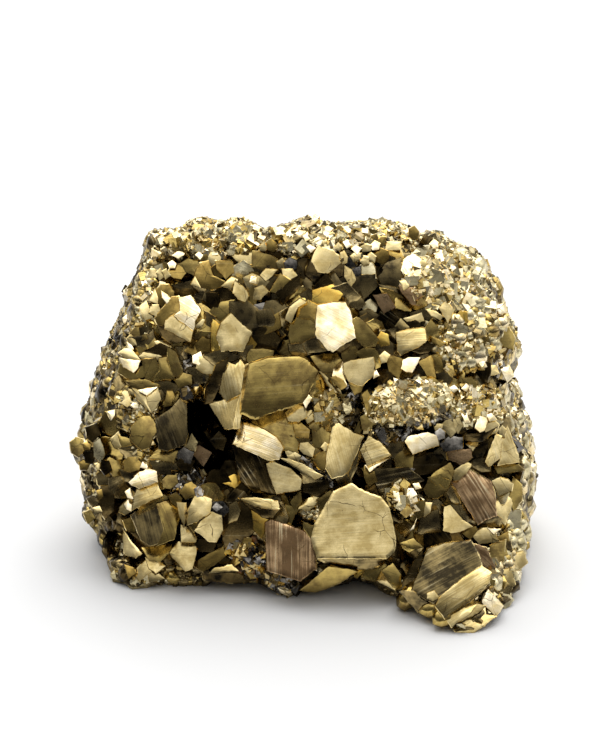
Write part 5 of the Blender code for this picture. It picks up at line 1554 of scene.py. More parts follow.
    Block("crust star", Finish.BRIGHT, 0.6, 0, 28, (399, 505, 402, 504, 403, 508, 400, 509)),
    Block("cube bronze", Finish.SHADE, -0.8, 6, -4, (449, 491, 453, 484, 458, 496, 459, 503, 453, 500)),
    # lumps of the left side, and dark faces painted as the shadow in its pits
    Block("side lump", Finish.OLIVE, 0.2, -8, 17, (71, 443, 76, 438, 82, 440, 83, 450, 78, 456, 72, 452)),
    Block("side nut", Finish.GOLD, 0.5, -6, 20, (84, 444, 87, 442, 90, 444, 89, 449, 85, 449)),
    Block("side nut low", Finish.GOLD, 0.3, -8, 12, (80, 463, 85, 460, 89, 464, 86, 469, 81, 469)),
    Block("side oval", Finish.DRUSE, 0.4, 0, 6, (94, 443, 99, 440, 102, 446, 104, 455, 100, 461, 95, 456)),
    Block("side eye", Finish.PALE, 0.5, 0, 20, (95, 464, 100, 463, 101, 468, 97, 469)),
    Block("side seed", Finish.GOLD, 0.5, 0, 14, (97, 491, 101, 490, 102, 496, 99, 499)),
    Block("side brown", Finish.SHADE, 0.4, -6, 4, (88, 499, 94, 497, 98, 502, 93, 507)),
    Block("side shell", Finish.OLIVE, 0.3, -8, 12, (84, 513, 90, 511, 94, 518, 88, 522)),
    Block("side glint", Finish.PALE, 0.5, 0, 18, (94, 508, 99, 507, 101, 511, 96, 513)),
    Block("pit shadow great", Finish.DARK, 0.3, 0, 3, (101, 487, 108, 487, 113, 496, 113, 510, 105, 518, 100, 507)),
    Block("pit shadow high", Finish.DARK, 0.3, 0, 3, (86, 428, 96, 424, 99, 434, 92, 441, 88, 437)),
    Block("pit shadow middle", Finish.DARK, 0.3, 0, 3, (84, 452, 91, 449, 94, 457, 92, 463, 86, 462)),
    Block("pit shadow right", Finish.DARK, 0.3, 0, 3, (102, 461, 108, 462, 111, 470, 105, 474, 101, 468)),
    # between the great olive face and the lance
    Block("olive apron", Finish.OLIVE, -0.7, 0, 20, (243, 413, 262, 407, 284, 401, 299, 412, 291, 427, 297,
          441, 296, 452, 286, 448, 264, 430, 247, 422), 10, 0.2),
    Block("apron gold", Finish.GOLD, -0.5, 4, 6, (288, 404, 300, 402, 303, 411, 292, 410)),
    Block("speck field", Finish.OLIVE, -0.4, -4, 13, (313, 428, 329, 423, 334, 438, 328, 449, 314, 445), 80,
          0.2),
    Block("speck field low", Finish.OLIVE, -0.6, 4, 12, (311, 446, 324, 447, 328, 452, 318, 458, 310, 456)),
    Block("apron ledge", Finish.SHADE, -0.5, -6, 0, (281, 441, 291, 437, 296, 445, 292, 453, 284, 449)),
    Block("thread bank", Finish.SHADE, -0.9, 0, 6, (297, 452, 309, 455, 320, 468, 329, 477, 316, 474, 301,
          463)),
    Block("thread bank low", Finish.DARK, -1.0, 0, 2, (303, 478, 318, 477, 329, 484, 320, 494, 306, 490)),
    Block("great roof", Finish.OLIVE, -0.3, -6, 2, (318, 500, 330, 492, 338, 497, 331, 508, 321, 512)),
    Block("great gable", Finish.PALE, 0.0, 0, 13, (350, 485, 368, 494, 382, 499, 372, 503, 352, 497)),
    Block("tile gold", Finish.GOLD, -0.6, 0, 6, (366, 468, 372, 470, 375, 480, 370, 484, 366, 477)),
    Block("under patch", Finish.SHADE, -0.8, 0, 4, (372, 440, 388, 434, 402, 440, 404, 452, 392, 456, 378,
          450)),
    Block("under patch right", Finish.OLIVE, -0.8, 4, 6, (404, 452, 412, 456, 410, 468, 398, 466, 396, 458)),
    # the corner crystal and the right
    Block("corner toe top", Finish.PALE, 1.8, 0, 23, (446, 617, 470, 603, 476, 604, 484, 606, 478, 612, 452,
          624)),
    Block("corner ridge", Finish.SHADE, 1.4, 6, 4, (453, 600, 470, 588, 487, 580, 489, 584, 470, 601, 452,
          613)),
    Block("corner cut", Finish.PALE, 1.8, 0, 20, (428, 594, 434, 592, 438, 597, 433, 600, 428, 598)),
    Block("corner hollow", Finish.OLIVE, 0.3, 0, 10, (460, 579, 469, 573, 471, 577, 463, 584)),
    Block("purple foot", Finish.GOLD, -0.2, 6, 10, (466, 524, 474, 526, 478, 532, 470, 538, 463, 533)),
    Block("right bead wall", Finish.OLIVE, -0.6, 10, 19, (514, 480, 520, 486, 520, 500, 514, 508, 511, 496)),
    Block("right wall low", Finish.DRUSE, -0.8, 14, 8, (512, 512, 519, 512, 518, 530, 510, 534, 508, 522)),
    Block("right nook", Finish.DARK, -1.2, 0, -20, (500, 548, 508, 546, 510, 556, 503, 560)),
    Block("right nut", Finish.PALE, -0.6, 6, 21, (513, 556, 522, 553, 525, 562, 518, 568, 512, 563)),
    Block("right leaf low", Finish.PALE, -0.6, 8, 15, (500, 572, 510, 570, 513, 584, 506, 592, 498, 584)),
    Block("right leaf high", Finish.DRUSE, -0.5, 6, 14, (497, 594, 506, 592, 511, 600, 505, 608, 499, 603)),
    Block("pillar shade", Finish.DARK, -1.0, 0, -8, (477, 451, 484, 444, 488, 440, 484, 452, 480, 462, 474,
          462)),
    Block("triangle side", Finish.SHADE, -0.6, 12, -6, (452, 506, 462, 507, 474, 522, 472, 526, 462, 518)),
)


# The mass turns away from the eye where its outward way runs along the eye's by more than this.
TURNED_AWAY = 0.1


def clear_of_blocks(points: np.ndarray, out: np.ndarray, margin: float) -> np.ndarray:
    """Whether points keep clear of the drawn blocks, or lie behind them where the mass turns away.

    Args:
        points: places on the mass, shape (n, 3).
        out: the outward directions there, shape (n, 3).
        margin: how far a point keeps off a block, in steps.

    Returns:
        True or False for each point, shape (n).
    """
    spots = SHEET.seen_at(points)
    hidden = np.zeros(len(points), bool)
    for block in BLOCKS:
        hidden |= inside(spots, spread(block.outline, margin))
    return ~(hidden & (out @ SHEET.ahead < TURNED_AWAY))


class Mix(Enum):
    """Shares of the finishes in a patch of small crystals.

    The BRIGHT share of a mix paints highlights, and its SHADE and DARK shares paint shade. The dull mix is
    mostly painted shade, for crystals in the gaps and those that look away from the light, and the
    darkest mix is the painted shade of the hollows and the furrow.
    """

    GLITTER = ((Finish.BRIGHT, 0.2), (Finish.DRUSE, 0.38), (Finish.OLIVE, 0.26), (Finish.SHADE, 0.16))
    BRASSY = ((Finish.DRUSE, 0.42), (Finish.BRIGHT, 0.08), (Finish.OLIVE, 0.28), (Finish.SHADE, 0.22))
    FUSED = ((Finish.DRUSE, 0.52), (Finish.BRIGHT, 0.32), (Finish.OLIVE, 0.12), (Finish.SHADE, 0.04))
    SPARKLING = ((Finish.BRIGHT, 0.4), (Finish.DRUSE, 0.46), (Finish.OLIVE, 0.14))
    DULL = ((Finish.DRUSE, 0.1), (Finish.OLIVE, 0.3), (Finish.SHADE, 0.36), (Finish.DARK, 0.24))
    SHADOWED = ((Finish.OLIVE, 0.08), (Finish.SHADE, 0.22), (Finish.DARK, 0.7))
    LEADEN = ((Finish.LEAD, 0.7), (Finish.DARK, 0.22), (Finish.PALE, 0.08))
    RUSTY = ((Finish.RUST, 0.14), (Finish.GOLD, 0.16), (Finish.LEAD, 0.32), (Finish.HONEY, 0.06),
             (Finish.PALE, 0.2), (Finish.DARK, 0.12))

    def draw(self, chance: np.random.Generator, count: int) -> np.ndarray:
        """Finish numbers drawn by the mix's shares, shape (count)."""
        numbers = [slot_of(finish) for finish, _ in self.value]
        return chance.choice(numbers, count, p=[share for _, share in self.value])


@dataclass(frozen=True)
class Patch:
    """A patch of small crystals in the broken front.

    Attributes:
        name: what it is.
        mix: its finishes.
        x, y: its middle on the sheet.
        wide, high: half its width and height, in steps.
        turn: how far it is turned, in degrees.
        count: how many crystals.
        width: width of one, in millimetres.
        lift: how far they stand over the mass's front, in millimetres.
        fused: whether they are rounded and grown together.
    """

    name: str
    mix: Mix
    x: float
    y: float
    wide: float
    high: float
    turn: float
    count: int
    width: float
    lift: float
    fused: bool = False

    def covers(self, spots: np.ndarray, share: float) -> np.ndarray:
        """Whether places on the sheet lie in the patch's ellipse, shrunk to a share of its size.

        Args:
            spots: the places, shape (n, 2).
            share: the share.

        Returns:
            True or False for each place, shape (n).
        """
        turn = math.radians(self.turn)
        along = np.array((math.cos(turn), math.sin(turn)))
        over = np.array((-along[1], along[0]))
        away = spots - np.array((self.x, self.y))
        return ((away @ along) / self.wide) ** 2 + ((away @ over) / self.high) ** 2 < share * share


PATCHES = (
    Patch("bright rough patch", Mix.SPARKLING, 408, 402, 44, 22, -8, 680, 0.62, 0.8),
    Patch("bright crust", Mix.GLITTER, 403, 498, 17, 17, -40, 90, 0.7, 0.9),
    Patch("bright right grains", Mix.SPARKLING, 476, 408, 26, 24, 20, 300, 0.7, -0.3),
    Patch("rusty nest", Mix.RUSTY, 252, 560, 24, 17, 40, 230, 0.7, 0.4),
    Patch("silver foot", Mix.LEADEN, 280, 582, 19, 9, 28, 110, 0.7, 1.0),
    Patch("galena seam", Mix.LEADEN, 347, 408, 9, 22, 0, 90, 0.7, -0.2),
    Patch("galena hollow", Mix.LEADEN, 385, 434, 18, 8, 12, 100, 0.7, 0.0),
    Patch("galena ledge", Mix.LEADEN, 424, 420, 26, 7, -18, 100, 0.7, 0.2),
    Patch("galena cleft", Mix.LEADEN, 196, 380, 16, 26, 30, 170, 0.8, -1.2),
    Patch("cleft floor", Mix.LEADEN, 186, 478, 18, 22, -20, 150, 0.8, -0.9),
    Patch("galena thread", Mix.LEADEN, 318, 470, 26, 6, 32, 80, 0.55, 0.5),
    Patch("rough shelf", Mix.FUSED, 318, 510, 14, 12, 0, 60, 1.1, -0.2, True),
    Patch("upper glitter", Mix.GLITTER, 215, 243, 62, 13, -6, 330, 0.7, 0.3),
    Patch("middle glitter", Mix.GLITTER, 318, 240, 60, 13, 0, 330, 0.72, 0.2),
    Patch("right glitter", Mix.SPARKLING, 440, 282, 40, 30, 30, 380, 0.85, 0.2),
    Patch("right shoulder", Mix.FUSED, 462, 330, 34, 38, 60, 330, 1.35, -0.6, True),
    Patch("shoulder sparks", Mix.GLITTER, 464, 334, 34, 44, 20, 110, 0.7, 0.0),
    Patch("left glitter", Mix.BRASSY, 148, 300, 14, 42, 12, 120, 1.1, -0.8, True),
    Patch("left sparks", Mix.GLITTER, 150, 296, 15, 42, 12, 110, 0.7, -0.3),
    Patch("left crumbs", Mix.BRASSY, 137, 412, 22, 25, 0, 130, 1.0, -0.5, True),
    Patch("left crumb sparks", Mix.GLITTER, 136, 408, 20, 22, 0, 60, 0.6, -0.1),
    Patch("prism crumbs", Mix.BRASSY, 150, 452, 22, 10, 0, 80, 0.7, -0.2),
    Patch("split crumbs", Mix.BRASSY, 330, 410, 20, 20, 0, 90, 0.7, 0.4),
    Patch("low left crust", Mix.DULL, 166, 573, 44, 11, 4, 170, 1.2, -0.7, True),
    Patch("low right crust", Mix.FUSED, 503, 556, 15, 46, 12, 200, 1.3, -1.0, True),
    Patch("low right sparks", Mix.BRASSY, 498, 566, 16, 46, 12, 90, 0.8, -0.4),
)


# The furrow between the two ridges of crust on the left, where the nodules are painted dark as its shade.
FURROW = Patch("left furrow", Mix.SHADOWED, 103, 480, 9, 62, -6, 0, 0.0, 0.0)


@dataclass
class Filler:
    """Makes up the smaller blocks between the drawn ones, on a loose grid over the front.

    Attributes:
        across: where the grid starts and ends to the right, in steps.
        down: the same downwards.
        spacing: distance between their middles, in steps.
        row_gap: distance between two rows, as a share of the spacing.
        stray: how far a middle strays from its place on the grid, as a share of the spacing.
        patch_share: share of a patch's size in which no filler stands.
        size: least and greatest radius, as a share of the spacing.
        uneven: least and greatest radius of one corner, as a share of the filler's.
        skew: how far a corner strays around the middle, as a share of the angle between two.
        reach: how far out they stand, as a share of the way to the outline.
        depth: least and greatest depth under the mass's front, in millimetres.
        hollow_share: how much deeper one lies in a hollow, as a share of the hollow's depth.
        painted_shade_from: hollows deeper than this hold fillers painted dark, as shade, in millimetres.
        dull_share: share of the other fillers that are dull.
        lean: greatest lean either way, in degrees.
        lean_share: how much of it is used up and down.
        upward: how far they look up on the whole, in degrees.
        hollow_limit: hollows deeper than this stay open, in millimetres.
        seed: seed of the random draws.
    """

    across: tuple[float, float] = (70.0, 545.0)
    down: tuple[float, float] = (215.0, 640.0)
    spacing: float = 15.0
    row_gap: float = 0.87
    stray: float = 0.36
    patch_share: float = 0.8
    size: tuple[float, float] = (0.45, 0.85)
    uneven: tuple[float, float] = (0.8, 1.2)
    skew: float = 0.3
    reach: float = 0.87
    depth: tuple[float, float] = (1.2, 2.5)
    hollow_share: float = 0.85
    painted_shade_from: float = 1.6
    dull_share: float = 0.95
    lean: float = 24.0
    lean_share: float = 0.8
    upward: float = 4.0
    hollow_limit: float = 4.2
    seed: int = 5

    def middles(self, chance: np.random.Generator) -> np.ndarray:
        """Places inside the outline that no drawn block and no patch covers.

        Args:
            chance: source of the random draws.

        Returns:
            The places on the sheet, shape (n, 2).
        """
        columns = np.arange(*self.across, self.spacing)
        x, y = np.meshgrid(columns, np.arange(*self.down, self.spacing * self.row_gap))
        x[1::2] += self.spacing / 2
        spots = np.column_stack([x.ravel(), y.ravel()])
        spots += chance.uniform(-self.stray, self.stray, spots.shape) * self.spacing
        heart = np.array(SHEET.heart)
        free = inside(spots, heart + (np.array(OUTLINE, float) - heart) * self.reach)
        for block in BLOCKS:
            free &= ~inside(spots, block.outline)
        for patch in PATCHES:
            free &= ~patch.covers(spots, self.patch_share)
        return spots[free]

    def blocks(self) -> tuple[Block, ...]:
        """The blocks: five to seven corners about each middle.

        In the hollows they lie deeper and are painted darker, as shade.
        """
        chance = np.random.default_rng(self.seed)
        made = []
        for x, y in self.middles(chance):
            hollow = float(hollow_depth(x, y)) / MM
            if hollow > self.hollow_limit:
                continue
            sides = int(chance.integers(5, 8))
            angles = (np.arange(sides) + chance.uniform(-self.skew, self.skew, sides)) * math.tau / sides
            away = self.spacing * chance.uniform(*self.size) * chance.uniform(*self.uneven, sides)
            outline = np.stack([x + np.cos(angles) * away, y + np.sin(angles) * away], -1)
            # Fillers in the deep hollows are painted dark, as shade.
            if hollow > self.painted_shade_from:
                mix = Mix.SHADOWED
            else:
                mix = Mix.DULL if chance.random() < self.dull_share else Mix.BRASSY
            finish = list(Finish)[int(mix.draw(chance, 1)[0])]
            lift = -chance.uniform(*self.depth) - self.hollow_share * hollow
            right, up = chance.uniform(-self.lean, self.lean, 2)
            made.append(Block("", finish, lift, right, up * self.lean_share + self.upward,
                              tuple(outline.ravel()), chance.uniform(0.0, 180.0), chance.uniform(0.0, 0.5)))
        return tuple(made)


@dataclass
class Crystals:
    """The large crystals, as blocks that grow straight back from their faces.

    Attributes:
        reach: how far back a block runs, in millimetres, at shares of the way to the outline.
        reach_span: least and greatest share of it that a block takes, by its random value.
        taper: width of its back end over that of its face.
        lap: how far a face reaches over its drawn edge, in steps, so that neighbours meet.
        tuck: how much further a face that lies back reaches under its neighbours, in steps.
        tuck_from: height over the mass's front under which a face lies back, in millimetres.
        pitch: distance between points along the edge of a drawn block, in steps.
        filler_pitch: the same for a filler.
        fewest: the fewest even points along an edge.
        ragged: how far an edge wanders, in steps.
        full_length: length of the edge from which it wanders in full, in steps.
        waves: width of the coarse and the fine waves of an edge, in steps.
        ring_gap: distance between the rings of a face, in steps.
        ring_limits: the fewest and the most rings of a face.
        chamfer: depth of the worn edge.
        chamfer_from: where it starts, as a share of the way to the face's edge.
        chamfer_steps: how far the two rings of the worn edge drop, as shares of its depth.
        swell: height of the soft undulation of a face.
        swell_widths: widths of its coarse and fine waves.
        bow: how far a face bows across its own random way, as a share of its radius.
        least_bow: added to a block's random value, which multiplies its bow.
        trough_share: share of the blocks that are bowed the other way.
        trough_force: how far they are, over the others.
        ledge: how far the growth ledges of the sides stand out.
        ledge_paces: how fast their noise runs, round the edge and over the block's depth.
        ledge_width: width of the noise's waves.
        ledge_level: how far the ledges are drawn in on the whole, as a share of the ledge.
        lip: how far the first ring of the sides stands out, as a share of the worn edge's depth.
        side_grain: how far the striations' place runs over the block's depth, and where it starts.
        side_stripe: how strong the striations of the sides are.
        bare: drawn blocks' edges take the pale finish where their noise is over this: a painted highlight.
        painted_shade_from: sides of blocks with a random value up to this are painted darkest near the face,
            as shade.
        wall_rows: how far back the rings of the sides lie, as shares of the block's depth.
        cuts: where on the sheet one piece ends and the next begins, from the left.
    """

    reach: tuple[tuple[float, float], ...] = ((0.6, 11.0), (0.86, 5.0), (1.0, 7.0))
    reach_span: tuple[float, float] = (0.85, 1.15)
    taper: float = 0.94
    lap: float = 1.1
    tuck: float = 2.6
    tuck_from: float = -0.2
    pitch: float = 1.25
    filler_pitch: float = 2.6
    fewest: int = 16
    ragged: float = 0.5
    full_length: float = 70.0
    waves: tuple[float, float] = (3.4, 1.5)
    ring_gap: float = 3.4
    ring_limits: tuple[int, int] = (2, 12)
    chamfer: float = 0.13 * MM
    chamfer_from: float = 0.975
    chamfer_steps: tuple[float, float] = (0.35, 1.0)
    swell: float = 0.045 * MM
    swell_widths: tuple[float, float] = (2.6 * MM, 1.0 * MM)
    bow: float = 0.09
    least_bow: float = 0.4
    trough_share: float = 0.3
    trough_force: float = -0.6
    ledge: float = 0.16 * MM
    ledge_paces: tuple[float, float] = (0.35, 14.0)
    ledge_width: float = 1.3
    ledge_level: float = 0.3
    lip: float = 0.6
    side_grain: tuple[float, float] = (11.0, 40.0)
    side_stripe: float = 0.3
    bare: float = -0.1
    painted_shade_from: float = 0.45
    wall_rows: tuple[float, ...] = (0.03, 0.1, 0.22, 0.4, 0.66, 1.0)
    cuts: tuple[float, ...] = (160.0, 220.0, 285.0, 350.0, 425.0)

    def edge(self, block: Block, number: int) -> tuple[np.ndarray, np.ndarray]:
        """The face's edge on the sheet: the drawn corners joined by straight edges that wander a little.

        Args:
            block: the crystal.
            number: its place in the list, which picks the pattern.

        Returns:
            The edge's points, shape (n, 2), and the middle of the corners, shape (2).
        """
        centre = block.outline.mean(0)
        tucked = min(1.0, max(0.0, self.tuck_from - block.lift))
        corners = spread(block.outline, self.lap + self.tuck * tucked)
        length = np.linalg.norm(np.roll(corners, -1, axis=0) - corners, axis=1).sum()
        pitch = self.pitch if block.name else self.filler_pitch
        line = resampled(corners, max(self.fewest, int(length / pitch)))
        way = unit(np.roll(line, -1, axis=0) - np.roll(line, 1, axis=0))
        out = np.stack([way[:, 1], -way[:, 0]], -1)
        out *= np.sign(((line - centre) * out).sum(-1).mean())
        spot = np.column_stack([line, np.full(len(line), number * 7.0)])
        wander = min(1.0, max(0.25, length / self.full_length)) * self.ragged
        coarse, fine = self.waves
        wander = wander * (ripple(spot, coarse, 21) + 0.6 * ripple(spot, fine, 22))
        return line + out * wander[:, None], centre

    def face(self, block: Block, number: int, lot: float, line: np.ndarray,
             centre: np.ndarray) -> tuple[np.ndarray, np.ndarray]:
        """The face: rings in a tilted plane, bowed, a little wavy, with a worn edge.

        Each place of a ring is where the eye's ray through it meets the plane. The bow grows with the
        square of the distance from a line through the middle: a ridge, or on some blocks a trough.

        Args:
            block: the crystal.
            number: its place in the list.
            lot: its random value.
            line: its edge on the sheet.
            centre: its middle on the sheet.

        Returns:
            The rings' points, shape (rings, columns, 3), and their places on the sheet.
        """
        middle = SHEET.place(*centre, SHEET.front_relief(*centre) + block.lift * MM)
        lean = math.tan(math.radians(block.lean_right)), math.tan(math.radians(block.lean_up))
        facing = unit(SHEET.right * lean[0] + SHEET.up * lean[1] - SHEET.ahead)
        radius = np.linalg.norm(line - centre, axis=1).mean()
        inner = int(np.clip(radius / self.ring_gap, *self.ring_limits))
        scales = np.concatenate([np.linspace(1.0 / inner, 1.0, inner)[:-1], [self.chamfer_from, 1.0]])
        flat = centre + (line - centre) * scales[:, None, None]
        sight = SHEET.cast(flat[..., 0], flat[..., 1])
        span = (facing @ (middle - SHEET.eye)) / (sight @ facing)
        face = SHEET.eye + sight * span[..., None]
        coarse, fine = self.swell_widths
        soft = ripple(face, coarse, number) + 0.3 * ripple(face, fine, number + 1)
        turn = lot * math.tau * 3.0
        aside = (flat - centre) @ np.array((math.cos(turn), math.sin(turn))) / radius
        sense = 1.0 if lot > self.trough_share else self.trough_force
        dip = self.bow * (self.least_bow + lot) * radius * SHEET.step * aside ** 2 * sense
        rounding = np.array([0.0] * (inner - 1) + [*self.chamfer_steps]) * self.chamfer
        height = soft * self.swell * (scales[:, None] < 1.0) - rounding[:, None] - dip
        return face + facing * height[..., None], flat

    def wall(self, number: int, lot: float, line: np.ndarray, centre: np.ndarray, edge: np.ndarray,
             depth: np.ndarray, around: np.ndarray) -> np.ndarray:
        """The sides: rings that run back from the face's edge along the lines of sight, with ledges.

        Args:
            number: the crystal's place in the list.
            lot: its random value.
            line: its edge on the sheet.
            centre: its middle on the sheet.
            edge: the last ring of its face, shape (columns, 3).
            depth: how far back each ring lies, as a share of the block's depth.
            around: how far round the edge each column lies, in millimetres.

        Returns:
            The rings' points, shape (rings, columns, 3).
        """
        narrow = centre + (line - centre) * (1.0 - (1.0 - self.taper) * depth)[:, None, None]
        reach = float(np.interp(rim_share(*centre), *zip(*self.reach))) * MM
        reach *= self.reach_span[0] + (self.reach_span[1] - self.reach_span[0]) * lot
        far = SHEET.distance - SHEET.front_relief(*centre) + reach
        ray = SHEET.cast(narrow[..., 0], narrow[..., 1])
        near = np.linalg.norm(edge - SHEET.eye, axis=-1) / np.linalg.norm(ray, axis=-1)
        wall = SHEET.eye + ray * (near + (far - near) * depth[:, None])[..., None]
        out = unit(line - centre)
        out = out[:, :1] * SHEET.right - out[:, 1:] * SHEET.up
        round_pace, back_pace = self.ledge_paces
        steps = np.stack(np.broadcast_arrays(around[None, :] * round_pace, depth[:, None] * back_pace,
                                             number * 5.0), -1)
        ledges = (ripple(steps, self.ledge_width, 31) - self.ledge_level) * self.ledge
        ledges[0] = self.chamfer * self.lip
        return wall + out * ledges[..., None]

    def finishes(self, block: Block, number: int, lot: float, line: np.ndarray, face_rows: int,
                 rows: int) -> np.ndarray:
        """Finish numbers: the face's own, pale stretches at its edge that paint a highlight between
        stretches of its own finish, and sides painted darker, as shade.

        Args:
            block: the crystal.
            number: its place in the list.
            lot: its random value.
            line: its edge on the sheet.
            face_rows: how many rings its face has.
            rows: how many rings it has.

        Returns:
            The numbers of the bands between the rings, shape (rows + 1, columns).
        """
        # The sides are painted shade: darkest near the face, olive brown further back.
        near = slot_of(Finish.SHADE if lot > self.painted_shade_from else Finish.DARK)
        bands = np.full((rows + 1, len(line)), near)
        bands[:face_rows] = slot_of(block.finish)
        bands[face_rows + 2:] = slot_of(Finish.SHADE)
        spot = np.column_stack([line, np.full(len(line), number * 3.0)])
        # Pale stretches of the edge paint a highlight where the edge catches the light.
        fresh = (ripple(spot, 4.0, 41) > self.bare) & bool(block.name)
        bands[face_rows] = np.where(fresh, slot_of(Finish.PALE), slot_of(block.finish))
        return bands

    def add(self, batch: Batch, block: Block, number: int) -> None:
        """Add one block: a tilted face, a worn edge, sides along the lines of sight and a closed back.

        Args:
            batch: what it is added to.
            block: the crystal.
            number: its place in the list, which picks its patterns.
        """
        line, centre = self.edge(block, number)
        lot = float(hashed(np.array([number, 3, 7]), 9))
        face, flat = self.face(block, number, lot, line, centre)
        depth = np.array(self.wall_rows if block.name else self.wall_rows[::3])
        around = np.cumsum(np.linalg.norm(line - np.roll(line, 1, axis=0), axis=1)) * SHEET.step / MM
        wall = self.wall(number, lot, line, centre, face[-1], depth, around)
        rings = np.concatenate([face, wall])
        rings[..., 2] = np.maximum(rings[..., 2], 0.0)
        angle = math.radians(block.grain)
        along = np.array((math.cos(angle), math.sin(angle)))
        across = np.array((-along[1], along[0]))
        drawn = flat * SHEET.step / MM
        face_grain = np.stack([drawn @ along, drawn @ across], -1)
        run, start = self.side_grain
        wall_grain = np.stack(np.broadcast_arrays(depth[:, None] * run + start, around[None, :]), -1)
        grain = np.concatenate([face_grain, wall_grain])
        stripe = np.concatenate([np.full(len(face), block.stripe), np.full(len(wall), self.side_stripe)])
        bands = self.finishes(block, number, lot, line, len(face), len(rings))
        batch.add_rings(rings, rings[0].mean(0), rings[-1].mean(0), bands, grain, stripe, lot)

    def pieces(self, materials: dict[Finish, bpy.types.Material]) -> list[bpy.types.Object]:
        """Make the crystals, in six pieces from the left to the right of the front.

        Args:
            materials: the material of every finish.

        Returns:
            The pieces.
        """
        places = ("far_left", "left", "middle_left", "middle_right", "right", "far_right")
        batches = [Batch("crystals_" + place) for place in places]
        for number, block in enumerate(BLOCKS + Filler().blocks()):
            piece = int(np.searchsorted(self.cuts, block.outline[:, 0].mean()))
            self.add(batches[piece], block, number)
        return [batch.piece(materials) for batch in batches]


# ---------------------------------------------------------------- small crystals


@dataclass(frozen=True)
class Habit:
    """A crystal form that fills a box of two by two by two.

    Attributes:
        corners: its corners, shape (n, 3).
        facing: the directions its faces look in, shape (m, 3).
    """

    corners: np.ndarray
    facing: np.ndarray

    def faces(self) -> list[np.ndarray]:
        """Corner numbers of each face: the corners furthest along its direction, in turn around it."""
        found = []
        for way in unit(self.facing):
            reach = self.corners @ way
            on = np.flatnonzero(reach > reach.max() - 0.01)
            side = unit(self.corners[on[0]] - way * reach[on[0]])
            over = np.cross(way, side)
            found.append(on[np.argsort(np.arctan2(self.corners[on] @ over, self.corners[on] @ side))])
        return found


def all_signs(vector: tuple[float, ...]) -> np.ndarray:
    """A vector with every choice of signs of its parts that aren't zero."""
    choices = itertools.product(*[((1, -1) if part else (1,)) for part in vector])
    return np.array([np.multiply(vector, signs) for signs in choices], float)


def all_turns(vector: tuple[float, ...]) -> np.ndarray:
    """A vector with its parts moved round, in every choice of signs."""
    return np.vstack([all_signs(tuple(np.roll(vector, shift))) for shift in range(3)])


CUBE = Habit(all_signs((1, 1, 1)), all_turns((1, 0, 0)))
CUT_CUBE = Habit(all_turns((1, 1, 0)), np.vstack([all_turns((1, 0, 0)), all_signs((1, 1, 1))]))
NODULE = Habit(all_turns((0.42, 0.42, 1.0)),
               np.vstack([all_turns((1, 0, 0)), all_turns((1, 1, 0)), all_signs((1, 1, 1))]))


@dataclass
class Swarm:
    """Many small crystals: where they are, how large, how turned, and of what finish.

    Attributes:
        centres: shape (n, 3).
        halves: half of each crystal's width along its own axes, shape (n, 3).
        turns: rotation matrices, shape (n, 3, 3).
        finishes: finish numbers, shape (n).
        cut_share: share of the crystals that take the second habit.
        habits: the two habits.
        uneven: how much each corner strays in or out, as a share of its distance.
        stripe: how strong the striations are.
    """

    centres: np.ndarray
    halves: np.ndarray
    turns: np.ndarray
    finishes: np.ndarray
    cut_share: float = 0.45
    habits: tuple[Habit, Habit] = (CUBE, CUT_CUBE)
    uneven: float = 0.0
    stripe: float = 0.4

    def add_to(self, batch: Batch, chance: np.random.Generator) -> None:
        """Add every crystal to a batch: each is its habit stretched, turned and moved.

        Args:
            batch: what they are added to.
            chance: source of the random draws.
        """
        kinds = chance.random(len(self.centres)) < self.cut_share
        for kind, habit in enumerate(self.habits):
            here = np.flatnonzero(kinds == bool(kind))
            count, corners = len(here), len(habit.corners)
            if not count:
                continue
            local = habit.corners * self.halves[here][:, None, :]
            local = local * (1.0 + self.uneven * chance.normal(size=(count, corners, 1)))
            spots = np.einsum("nij,nkj->nki", self.turns[here], local) + self.centres[here][:, None]
            spots[..., 2] = np.maximum(spots[..., 2], 0.0)
            faces = habit.faces()
            loop = np.concatenate(faces)
            loops = (loop + np.arange(count)[:, None] * corners).ravel()
            sides = np.tile([len(face) for face in faces], count)
            slots = np.repeat(self.finishes[here], len(faces))
            grain = (local[..., :2] + local[..., 1:]) / MM
            lot = np.repeat(chance.random(count), corners)
            batch.add(spots.reshape(-1, 3), loops, sides, slots, grain.reshape(-1, 2),
                      np.full(count * corners, self.stripe), lot)


